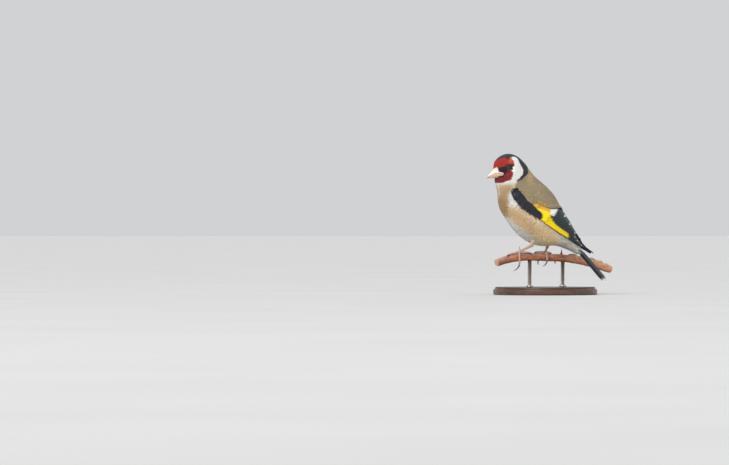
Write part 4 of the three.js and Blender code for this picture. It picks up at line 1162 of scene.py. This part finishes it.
def wing_coverts(wing, rng):
    """Tiers of rounded blades on the wing's shell, each tier's tips over the roots of the one behind it."""
    shapes = []
    steps = 1 - (1 - np.linspace(0, 1, 14)) ** 1.3

    def surface(p, q, height):
        """This wing's shell."""
        return wing_point(wing, p, q, height)

    def edges(along):
        """Lower edge and height of the wing, as those of its ends beyond them."""
        low, up = wing_edges(wing, np.clip(along, wing["front"], wing["tip"]))
        return low, up - low

    for tier, (root, tip, low_share, high_share, count, stand) in COVERTS.items():
        k = (np.arange(count) + 0.5) / count
        share = low_share + (high_share - low_share) * k
        slant = 3.0 * (k - 0.5) if tier in ("greater", "median") else 0.0
        along = wing_place(wing, root) + rng.uniform(-0.7, 0.7, count) + slant
        reach = wing_place(wing, tip) - wing_place(wing, root)
        low, tall = edges(along + reach * 0.6)
        width = tall * (high_share - low_share) / count * 2.1
        low_root, tall_root = edges(along)
        at_root = low_root + tall_root * share
        angle = np.arctan2(low + tall * share - at_root, reach * 0.6)
        length = reach * rng.uniform(0.96, 1.04, count)
        rise = (-0.6, stand + 0.1 * (np.arange(count) % 2))
        points, vane = feathers(surface, along, at_root, length, width, angle, rise, BLADE_RING, steps, 0.09,
                                0.55, 0.05)
        aside, forward = vane[..., 0], vane[..., 1]
        start_p, start_q, turn = (values[:, None, None] for values in (along, at_root, angle))
        run = start_p + forward * np.cos(turn) - aside * np.sin(turn)
        height = start_q + forward * np.sin(turn) + aside * np.cos(turn) - edges(run)[0]
        bake = np.stack(wing_unwrap(start_p + forward, start_q + aside), -1)
        shapes.append(tubes(points, colour=covert_colour(tier, run, height), vane=vane, bake=bake))
    return merged(shapes)


def covert_colour(tier, run, height):
    """Black coverts; over a curve the larger ones are yellow, then gold, and the upper ones end white."""
    colour = BLACK + 0 * run[..., None]
    if tier.startswith("lesser"):
        return colour
    over_gold = height - along_line(GOLD_LINE, run)
    tone = mix(YELLOW + 0 * colour, GOLD, smoothstep(over_gold, -0.6, 0.8))
    tone = mix(tone, mix(GOLD, MANTLE, 0.5), smoothstep(over_gold, 2.0, 4.5))
    bright = smoothstep(height - along_line(BLACK_TOP, run), -0.3, 0.3) * smoothstep(run, -5.0, -3.8)
    colour = mix(colour, tone, bright)
    white = smoothstep(run - 8.5 - (11.8 - height) * 0.82, -0.4, 0.6) * smoothstep(height, 7.0, 7.8)
    return mix(colour, WHITE, white)


def wing_shade_slab(wing):
    """Dark slab under the vanes, between two depths of the shell, so that no light shows through; its colour,
    darker than the black vanes, is painted shade in the gaps between them.
    """
    along, turn = grid(np.linspace(wing["front"] + 0.5, wing["tip"] - 2.5, 40), circle(40))
    low, up = wing_edges(wing, along)
    across = (low + up) / 2 + (up - low) * 0.46 * np.cos(turn)
    points = wing_point(wing, along, across, -2.0 + 0.45 * np.sin(turn))
    # Black made darker still: painted shade
    return tube(points, colour=BLACK * 0.8 + 0 * points, vane=np.stack([across, along], -1),
                bake=np.stack(wing_unwrap(along, across), -1))


def tail_feathers():
    """Twelve feathers in pairs from the middle out. Each outer edge lies at its share of the half width,
    which grows along the tail. The depth grows with the distance from it, and middle pairs are shorter."""
    pairs = 6
    pair = np.repeat(np.arange(pairs), 2)
    side = np.tile([-1.0, 1.0], pairs)[:, None, None]
    a = 1 - (1 - np.linspace(0, 1, 30)) ** 1.4
    b, under = BLADE_RING[:, 0] * 0.5 + 0.5, BLADE_RING[:, 1]
    notch = TAIL_NOTCH / TAIL_LENGTH * (1 - pair / (pairs - 1)) ** 0.8
    along = 0.02 + (0.98 - notch)[:, None] * a
    half = TAIL_HALF[0] + (TAIL_HALF[1] - TAIL_HALF[0]) * along
    exposed = half / pairs
    width = np.minimum(exposed * (pair[:, None] + 1) + 0.5 * (pair[:, None] == 0), 4.2)
    narrow = np.sqrt(np.clip(1 - (np.clip(a - 0.9, 0, 1) / 0.1) ** 2, 0.02, 1))
    outer = exposed * (pair[:, None] + 1) - width * (1 - narrow) * 0.3
    across = outer[..., None] - (width * narrow)[..., None] * b
    dive = 0.16 * (exposed[..., None] * (pair[:, None, None] + 1) - across) / exposed[..., None]
    dive = dive + 0.06 * (side > 0)
    height = TAIL_THICK / 2 - 0.1 - np.minimum(dive, 1.2) - 0.1 * under
    height = height - (across / half[..., None]) ** 2 * TAIL_ARCH
    points = tail_point(along[..., None] + 0 * across, side * across, height)
    left = (1 - a)[:, None] * TAIL_LENGTH + 0 * across
    tip = (1 - smoothstep(left, 1.2, 2.2)) * (1 - smoothstep(np.abs(b - 0.4), 0.2, 0.5))
    vane = np.stack([across - outer[..., None] + width[..., None] * 0.35, TAIL_LENGTH - left], -1)
    bake = np.stack([0.5 + side * across / 20, 0.05 + 0.9 * along[..., None] + 0 * across], -1)
    return tubes(points, colour=mix(TAIL_GREY + 0 * points, WHITE, tip), vane=vane, bake=bake)


class GOLDFINCH_OT_wings(bpy.types.Operator):
    """Fold the flight feathers and coverts of both wings"""

    bl_idname = "goldfinch.wings"
    bl_label = "Wings"

    def execute(self, context):
        rng = np.random.default_rng(5)
        material = plumage_material("wing_feathers", 0.62, 0.3, 0.3, 0.08)
        for name, wing in WINGS.items():
            parts = [wing_shade_slab(wing), flight_feathers(wing), wing_coverts(wing, rng)]
            put_piece(f"wing_feathers_{name}", merged(parts), material, (f"wing_{name}",))
        return {"FINISHED"}


class GOLDFINCH_OT_tail(bpy.types.Operator):
    """Lay the twelve tail feathers in a notched fan"""

    bl_idname = "goldfinch.tail"
    bl_label = "Tail"

    def execute(self, context):
        material = plumage_material("tail_vanes", 0.6, 0.3, 0.3, 0.08)
        put_piece("tail_feathers", tail_feathers(), material, ("tail",))
        return {"FINISHED"}


def bezier(points, f):
    """Quadratic curve: (1-f) squared, 2 f (1-f) and f squared times its three points."""
    p0, p1, p2 = (np.array(p) for p in points)
    f = f[:, None]
    return (1 - f) ** 2 * p0 + 2 * f * (1 - f) * p1 + f ** 2 * p2


def mandible(upper, lower, crest):
    """Bill half: rings between an upper and a lower edge line, bowed to the crest side by sine squared."""
    f = np.concatenate([np.linspace(0, 0.9, 44), 0.9 + 0.099 * np.sin(np.linspace(0, np.pi / 2, 14)[1:])])
    top, low = bezier(upper, f), bezier(lower, f)
    t = circle(48)
    half = BILL_HALF * (1 - f) ** BILL_TAPER
    middle, reach = (top + low) / 2, (top - low) / 2
    bow = np.cos(t) - crest * 0.75 * np.sin(t) ** 2
    s = middle[:, :1] + reach[:, :1] * bow
    z = middle[:, 1:] + reach[:, 1:] * bow
    y = half[:, None] * np.sin(t)
    if crest > 0:
        pit = np.exp(-((s - NOSTRIL[0]) ** 2 + (z - NOSTRIL[1]) ** 2) / NOSTRIL[2] ** 2)
        y = y * (1 - 0.3 * pit)
    points = bird_point(s, y, z, HEAD_TURN)
    f = f[:, None]
    colour = mix(BILL_ROSE + 0 * points, BILL_IVORY, smoothstep(f, 0.0, 0.45) + 0 * s)
    # The lower mandible is mixed towards tan: painted shade under the upper mandible
    if crest < 0:
        colour = mix(colour, BILL_SHADE_TAN, 0.75)
    ridge = np.abs(np.cos(t) - crest) < 0.12
    colour = mix(colour, BILL_DARK, smoothstep(f, 0.8, 1.0) * 0.75 + 0.25 * ridge * smoothstep(f, 0.2, 0.6))
    flat = np.stack([f * 10 + 0 * s, t + 0 * s], -1)
    return tube(points, colour=colour, vane=flat, bake=flat * [0.08, 0.14] + 0.03)


def eyeball(side):
    """A ball with a slight bulge in front; pupil, iris and dark rim are steps over the way from its axis."""
    tilt, turn = grid(np.linspace(0.02, np.pi - 0.02, 60), circle(64))
    radius = EYE["radius"] * (1 + 0.03 * np.exp(-(tilt / 0.45) ** 2))
    ball = bird_point(EYE["s"] + radius * np.sin(tilt) * np.cos(turn),
                      side * (EYE["y"] + radius * np.cos(tilt)),
                      EYE["z"] + radius * np.sin(tilt) * np.sin(turn), HEAD_TURN)
    out = EYE["radius"] * np.sin(tilt)
    colour = mix(PUPIL + 0 * ball, IRIS, smoothstep(out, 1.0, 1.15))
    colour = mix(colour, EYE_RIM, smoothstep(out, 1.65, 1.95))
    flat = np.stack([tilt, turn], -1)
    return tube(ball, colour=colour, vane=flat, bake=flat * 0.15 + 0.02)


def eyelid(side):
    """A ring of skin round the eye, a little lower above and below it, and paler along its lower half, as a
    painted highlight.
    """
    ring, small = grid(circle(72), circle(16))
    reach = EYE["lid_radius"] * (1 - 0.07 * np.abs(np.sin(ring)) ** 3)
    reach = reach + EYE["lid_tube"] * 0.75 * np.cos(small)
    rise = EYE["y"] + 2.0 + EYE["lid_tube"] * 0.8 * np.sin(small) - 0.12 * np.cos(ring) ** 2
    lid = bird_point(EYE["s"] + reach * np.cos(ring) * 1.03, side * rise, EYE["z"] + reach * np.sin(ring),
                     HEAD_TURN)
    # The lower half is mixed towards a painted highlight
    colour = mix(LID_DARK + 0 * lid, LID_HIGHLIGHT, smoothstep(-np.sin(ring), 0.2, 0.9) * 0.6)
    flat = np.stack([ring, small], -1)
    return torus(lid, colour=colour, vane=flat, bake=flat * 0.15 + 0.02)


class GOLDFINCH_OT_bill(bpy.types.Operator):
    """Shape both mandibles with the gape line between them"""

    bl_idname = "goldfinch.bill"
    bl_label = "Bill"

    def execute(self, context):
        material = horn_material("bill_horn", 0.36, 0.25, 1400.0, 0.12)
        high = [[s, z + GAP / 2] for s, z in TOMIUM]
        low = [[s, z - GAP / 2] for s, z in TOMIUM]
        put_piece("bill_upper_horn", mandible(CULMEN, high, 1), material, ("bill_upper",))
        put_piece("bill_lower_horn", mandible(low, GONYS, -1), material, ("bill_lower",))
        return {"FINISHED"}


class GOLDFINCH_OT_eyes(bpy.types.Operator):
    """Set both eyes with their lids"""

    bl_idname = "goldfinch.eyes"
    bl_label = "Eyes"

    def execute(self, context):
        glossy = eye_material()
        lid_skin = horn_material("lid_skin", 0.6, 0.0, 2500.0, 0.4)
        for name, side in (("left", -1.0), ("right", 1.0)):
            put_piece(f"eyeball_{name}", eyeball(side), glossy, (f"eye_{name}",))
            put_piece(f"eyelid_{name}", eyelid(side), lid_skin)
        return {"FINISHED"}


def path_tube(stops, radii, out, rows, sides, scales, colours):
    """A tube along a Catmull-Rom path. Its rings stand square to the path, with out as the way up. On the
    upper side each scale swells and then steps in, as a saw wave, and its step is darkened as painted shade
    in the crease; with no scales the whole upper side is darkened the same way. Soft pads below swell by a
    sine."""
    place = np.linspace(0, len(stops) - 1, rows)
    line = along_rows(np.asarray(stops), place)
    radius = along_rows(np.asarray(radii, float)[:, None], place)
    tangent = unit(np.gradient(line, axis=0))
    up = along_rows(np.asarray(out), place)
    up = unit(up - tangent * np.einsum("ij,ij->i", up, tangent)[:, None])
    aside = np.cross(tangent, up)
    f, t = grid(np.linspace(0, 1, rows), circle(sides))
    scale = (f * scales) % 1.0
    swell = 0.09 * scale * smoothstep(np.cos(t), -0.2, 0.5)
    pads = 0.12 * np.sin(f * np.pi * 3) ** 2 * smoothstep(-np.cos(t), 0.1, 0.9)
    reach = radius * (0.95 + swell + pads)
    reach = reach * np.sqrt(np.clip(1 - np.clip(0.04 - f, 0, 1) ** 2 / 0.04 ** 2, 0.1, 1))
    reach = reach * np.sqrt(np.clip(1 - np.clip(f - 0.97, 0, 1) ** 2 / 0.03 ** 2, 0.05, 1))
    points = line[:, None] + up[:, None] * (reach * np.cos(t))[..., None]
    points = points + aside[:, None] * (reach * np.sin(t))[..., None]
    # Painted shade in the crease at the foot of each scale's step, on the upper side
    crease_shade = 1 - 0.45 * (scale < 0.16) * smoothstep(np.cos(t), -0.2, 0.5)
    colour = mix(colours[0] + 0 * points, colours[1], f) * crease_shade[..., None]
    flat = np.stack([t, f * 10], -1)
    return tube(points, colour=colour, vane=flat, bake=flat * [0.14, 0.08] + 0.03)


def branch_bark():
    """The branch's tube. Its radius carries two ripples and bell-shaped knots; its colours mix with a ripple,
    grow paler along it, greyer above, and darker below and in the relief's hollows as painted shade."""
    x, t = grid(np.linspace(*BRANCH_ENDS, 360), circle(72))
    ends = np.minimum(x - BRANCH_ENDS[0], BRANCH_ENDS[1] - x)
    place = np.stack([x * 0.25, 2.4 * np.cos(t), 2.4 * np.sin(t)], -1)
    relief_depth = 0.1 * ripple(place, 1.3, 21) + 0.05 * ripple(place * [3, 1, 1], 0.8, 22)
    knots = sum(0.5 * np.exp(-((x - k) / 1.6) ** 2) for k in BRANCH_KNOTS)
    radius = (BRANCH_RADIUS - 0.12 + relief_depth + 0.4 * knots) * (1 - 0.1 * np.exp(-ends / 0.4))
    points = round_branch(x, t, radius)
    colour = mix(BARK_RED + 0 * points, BARK_BROWN, 0.5 + 0.5 * ripple(place, 4.0, 5))
    colour = mix(colour, BARK_PALE, 0.6 * smoothstep(x, 4, 24))
    # Greyer on top, in patches
    grey_top = 0.75 * smoothstep(np.cos(t), 0.1, 0.9) * (0.55 + 0.45 * ripple(place, 2.2, 6))
    colour = mix(colour, BARK_GREY, grey_top)
    # Darker on the underside: painted shade
    colour = mix(colour, BARK_SHADE_UNDER, smoothstep(-np.cos(t), 0.3, 1.0) * 0.5)
    # Darker where the relief sinks: painted shade in its hollows
    colour = mix(colour, BARK_HOLLOW_SHADE, np.clip(-relief_depth * 5, 0, 0.5))
    flat = np.stack([x, t], -1)
    return tube(points, colour=colour, vane=flat, bake=flat * [0.009, 0.14] + [0.45, 0.03])


def thorn(where, degrees, length, foot, lean):
    """A cone with a flared foot: its width is foot times a fourth power, a straight fall and a blunt tip."""
    angle = np.array([np.radians(degrees)])
    root = round_branch(np.array([where]), angle, np.array([BRANCH_RADIUS * 0.6]))[0]
    tip = round_branch(np.array([where + lean * length]), angle, np.array([BRANCH_RADIUS + length]))[0]
    axis = unit(tip - root)
    one = unit(np.cross(axis, [0.3, 0.9, 0.2]))
    other = np.cross(axis, one)
    f, turn = (values[..., None] for values in grid(np.linspace(0, 1, 30), circle(20)))
    wide = foot * (1.2 * (1 - f) ** 4 + 0.9 * (1 - f) + 0.06)
    ring = root + (tip - root) * f + wide * (one * np.cos(turn) * 1.25 + other * np.sin(turn) * 0.8)
    tone = mix(THORN_FOOT + 0 * ring, THORN_TIP, smoothstep(f, 0.45, 0.9)[..., 0])
    spot = np.concatenate([f, turn], -1)
    return tube(ring, colour=tone, vane=spot, bake=spot * 0.1 + 0.03)


def tendril():
    """A dry stem that winds to and fro along the branch's top: its angle and height are sums of sines."""
    run = np.linspace(19.0, 50.0, 26)
    turn = np.radians(-18 + 16 * np.sin(run * 0.9) + 10 * np.sin(run * 0.37))
    lie = round_branch(run, turn, BRANCH_RADIUS + 0.6 + 0.3 * np.sin(run * 1.7) ** 2)
    radii = 0.72 + 0.14 * np.sin(run * 2.3)
    return path_tube(lie, radii, unit(lie - branch_point(run)), 180, 14, 0.0, (STEM_DARK, STEM_PALE))


def cut_end(end, way):
    """A shallow dome with yearly rings, which are a sine over the distance from the branch's centre line."""
    share, t = grid(np.array([1.0, 0.97, 0.9, 0.75, 0.6, 0.45, 0.3, 0.15, 0.03]), circle(72))
    rim = round_branch(np.full_like(share, end), t, share * (BRANCH_RADIUS - 0.35))
    tangent = branch_frame(np.full_like(share, end))[0]
    ring = rim + tangent * (0.12 * (1 - share ** 2) * way + 0.05 * way)[..., None]
    rings = np.concatenate([rim[::-1] - tangent * way, ring])
    distance = np.linalg.norm(rings - branch_point(np.array(end)), axis=-1)
    wood = mix(WOOD_PALE + 0 * rings, WOOD_DARK, 0.5 + 0.5 * np.sin(distance * 9))
    spot = np.stack(grid(np.linspace(0, 1, len(rings)), circle(72)), -1)
    return tube(rings, colour=wood, vane=spot, bake=spot * 0.1 + 0.3)


def grip_points(foot_x, path, radius):
    """Places of a toe or claw round the branch, and the directions away from the branch there."""
    dx, degrees, lift = np.array(path, float).T
    angle = np.radians(degrees)
    stops = round_branch(foot_x + dx, angle, BRANCH_RADIUS + GAP * 0.55 + radius + lift)
    return stops, unit(stops - branch_point(foot_x + dx))


class GOLDFINCH_OT_legs(bpy.types.Operator):
    """Shape tarsi, toes and claws with their scales"""

    bl_idname = "goldfinch.legs"
    bl_label = "Legs"

    def execute(self, context):
        scaled = horn_material("leg_scales", 0.55, 0.1, 1600.0, 0.25)
        horn = horn_material("claw_horn", 0.4, 0.2, 2200.0, 0.1)
        for name, leg in LEGS.items():
            foot_x = np.array([leg["foot_x"]])
            knuckle = round_branch(foot_x, np.zeros(1), BRANCH_RADIUS + GAP * 0.55 + KNUCKLE_RADIUS * 0.75)[0]
            heel = bird_point(*leg["heel"])
            line = np.stack([heel + (heel - knuckle) * 0.15, heel, (heel + knuckle) / 2, knuckle])
            front = np.tile(unit(bird_point(-30.0, 0.0, 0.0) - bird_point(0.0, 0.0, 0.0)), (4, 1))
            front[:, 2] = 0.6
            radii = [1.25, 1.2, TARSUS_RADIUS, TARSUS_RADIUS * 1.25]
            shank = path_tube(line, radii, front, 90, 24, 9, LEG_COLOURS)
            put_piece(f"shank_{name}", shank, scaled, (f"tarsus_{name}",))
            toes = []
            for toe in leg["toes"]:
                stops, out = grip_points(leg["foot_x"], toe, TOE_RADIUS)
                radii = [TOE_RADIUS * 1.15] + [TOE_RADIUS] * (len(toe) - 2) + [TOE_RADIUS * 0.78]
                toes.append(path_tube(stops, radii, out, 80, 20, 9, LEG_COLOURS))
            put_piece(f"toes_{name}", merged(toes), scaled, (f"foot_{name}",))
            for i, claw in enumerate(leg["claws"]):
                toe_end = grip_points(leg["foot_x"], leg["toes"][i][-1:], TOE_RADIUS)[0]
                stops, out = grip_points(leg["foot_x"], claw, TOE_RADIUS * 0.75)
                stops = np.concatenate([toe_end, stops])
                out = np.concatenate([out[:1], out])
                curve = path_tube(stops, [0.62, 0.56, 0.36, 0.06], out, 40, 16, 0.0, CLAW_COLOURS)
                put_piece(f"claw_horn_{name}_{i + 1}", curve, horn, (f"claw_{name}_{i + 1}",))
        return {"FINISHED"}


class GOLDFINCH_OT_perch(bpy.types.Operator):
    """Carve the cut length of thorny branch"""

    bl_idname = "goldfinch.perch"
    bl_label = "Perch"

    def execute(self, context):
        parts = [branch_bark(), *(thorn(*values) for values in THORNS), tendril()]
        put_piece("perch_bark", merged(parts), bark_material(), ("perch",))
        caps = [cut_end(BRANCH_ENDS[0], -1.0), cut_end(BRANCH_ENDS[1], 1.0)]
        cut_wood = horn_material("cut_wood", 0.8, 0.0, 1800.0, 0.5)
        put_piece("perch_cut_ends", merged(caps), cut_wood)
        return {"FINISHED"}


# Radius and height of the base's rim, from its underside to its top
BASE_PROFILE = [(38.6, 0.0), (39.5, 0.25), (40.0, 1.0), (40.0, 3.6), (39.7, 4.2), (38.9, 4.5), (38.6, 4.9),
                (38.5, 5.4), (38.1, 5.8), (37.4, 6.0)]
BASE_TOP = 6.0
ROD_PLACES = (-12.0, 14.0)


def turned(line, x=0.0, y=0.0, count=128):
    """A solid of revolution from rows of radius and height, about an upright axis."""
    turn = circle(count)
    radius, height = line[:, :1], line[:, 1:]
    return tube(np.stack([x + radius * np.cos(turn), y + radius * np.sin(turn), height + 0 * turn], -1))


class GOLDFINCH_OT_stand(bpy.types.Operator):
    """Turn the stand's base and its two rods"""

    bl_idname = "goldfinch.stand"
    bl_label = "Stand"

    def execute(self, context):
        rim = along_rows(np.array(BASE_PROFILE + [(20.0, BASE_TOP)]), np.linspace(0, 9, 60))
        line = np.concatenate([[(0.5, 0.0)], rim, [(20.0, BASE_TOP), (0.5, BASE_TOP)]])
        put_piece("stand_base_wood", turned(line), stand_wood_material(), ("stand_base",))
        metal = brushed_metal_material()
        for i, x in enumerate(ROD_PLACES):
            _, y, z = branch_point(np.array(x))
            top = z - BRANCH_RADIUS * 0.55
            line = np.array([(0.13, BASE_TOP), (2.6, BASE_TOP), (2.6, 6.9), (2.3, 7.3), (1.5, 7.5),
                             (1.5, top), (0.075, top)])
            put_piece(f"stand_rod_metal_{i + 1}", turned(line, x, y, 40), metal, (f"stand_rod_{i + 1}",))
        return {"FINISHED"}


# Lights: name, place in metres, width of the sun in degrees, share of the key light's strength
SUNS = [("key", (-1.7, -2.8, 2.1), 42.0, 1.0), ("fill", (2.6, -2.2, 1.0), 60.0, 0.22),
        ("back", (0.8, 2.4, 2.4), 50.0, 0.3)]
SOFTBOX = {"place": (-1.2, -2.5, 1.9), "size": 0.6, "share": 7.0}
SURROUND_STRENGTH = 0.74
FLOOR_REACH = 60.0
# In metres: the picture's width at the perch, and the camera's X and height
PICTURE_WIDTH = 0.561
CAMERA_X = -0.139
CAMERA_Z = 0.0479
SENSOR_WIDTH = 36.0


def put_lamp(name, kind, place, power):
    """A lamp of a kind that shines from a place to the middle of the bird; gives back its data."""
    data = bpy.data.lights.new(name, kind)
    data.energy = power
    lamp = bpy.data.objects.new(name, data)
    lamp.location = place
    lamp.rotation_mode = "QUATERNION"
    lamp.rotation_quaternion = Vector((place[0], place[1], place[2] - 0.06)).to_track_quat("Z", "Y")
    bpy.context.scene.collection.objects.link(lamp)
    return data


class GOLDFINCH_OT_stage(bpy.types.Operator):
    """Lay the pale floor, hang the soft lights and place the camera"""

    bl_idname = "goldfinch.stage"
    bl_label = "Stage"

    def execute(self, context):
        scene = context.scene
        settings = scene.goldfinch_stage
        put_floor(FLOOR_REACH)

        world = bpy.data.worlds.new("pale_surround")
        world.use_nodes = True
        background = world.node_tree.nodes["Background"]
        background.inputs["Color"].default_value = (*settings.backdrop, 1.0)
        background.inputs["Strength"].default_value = SURROUND_STRENGTH
        scene.world = world
        for name, place, width, share in SUNS:
            put_lamp(name, "SUN", place, settings.key_power * share).angle = np.radians(width)
        power = settings.key_power * SOFTBOX["share"]
        put_lamp("softbox", "AREA", SOFTBOX["place"], power).size = SOFTBOX["size"]

        data = bpy.data.cameras.new("photo_view")
        data.sensor_width = SENSOR_WIDTH
        data.lens = SENSOR_WIDTH * settings.distance / PICTURE_WIDTH
        data.clip_end = FLOOR_REACH
        camera = bpy.data.objects.new("photo_view", data)
        camera.location = (CAMERA_X, -settings.distance, CAMERA_Z)
        camera.rotation_euler = (np.pi / 2, 0.0, 0.0)
        scene.collection.objects.link(camera)
        scene.camera = camera
        scene.view_settings.view_transform = "Standard"
        return {"FINISHED"}


def put_floor(reach):
    """The floor: one square face that reaches so many metres each way."""
    corners = [(-reach, -reach, 0), (reach, -reach, 0), (reach, reach, 0), (-reach, reach, 0)]
    mesh = bpy.data.meshes.new("floor")
    mesh.from_pydata(corners, [], [(0, 1, 2, 3)])
    mesh.materials.append(floor_material())
    floor = bpy.data.objects.new("floor", mesh)
    bpy.context.scene.collection.objects.link(floor)
    return floor


class GOLDFINCH_PT_panel(bpy.types.Panel):
    """Lists the pieces in the order in which they are built"""

    bl_label = "Goldfinch"
    bl_idname = "GOLDFINCH_PT_panel"
    bl_space_type = "VIEW_3D"
    bl_region_type = "UI"
    bl_category = "Goldfinch"

    def draw(self, context):
        for settings in (context.scene.goldfinch_coat, context.scene.goldfinch_stage):
            box = self.layout.box()
            for name in settings.__annotations__:
                box.prop(settings, name)
        for operator in BUILD_ORDER:
            self.layout.operator(operator.bl_idname)


BUILD_ORDER = (
    GOLDFINCH_OT_skin,
    GOLDFINCH_OT_coat,
    GOLDFINCH_OT_wings,
    GOLDFINCH_OT_tail,
    GOLDFINCH_OT_bill,
    GOLDFINCH_OT_eyes,
    GOLDFINCH_OT_legs,
    GOLDFINCH_OT_perch,
    GOLDFINCH_OT_stand,
    GOLDFINCH_OT_stage,
)
CLASSES = (GoldfinchCoat, GoldfinchStage, *BUILD_ORDER, GOLDFINCH_PT_panel)


def register():
    """Registers the classes and hangs both groups of sizes on the scene."""
    for cls in CLASSES:
        bpy.utils.register_class(cls)
    bpy.types.Scene.goldfinch_coat = PointerProperty(type=GoldfinchCoat)
    bpy.types.Scene.goldfinch_stage = PointerProperty(type=GoldfinchStage)


def unregister():
    """Takes both groups off the scene and unregisters the classes in reverse."""
    del bpy.types.Scene.goldfinch_stage
    del bpy.types.Scene.goldfinch_coat
    for cls in reversed(CLASSES):
        bpy.utils.unregister_class(cls)


def main():
    register()
    for operator in BUILD_ORDER:
        group, name = operator.bl_idname.split(".")
        getattr(getattr(bpy.ops, group), name)()


if __name__ == "__main__":
    main()
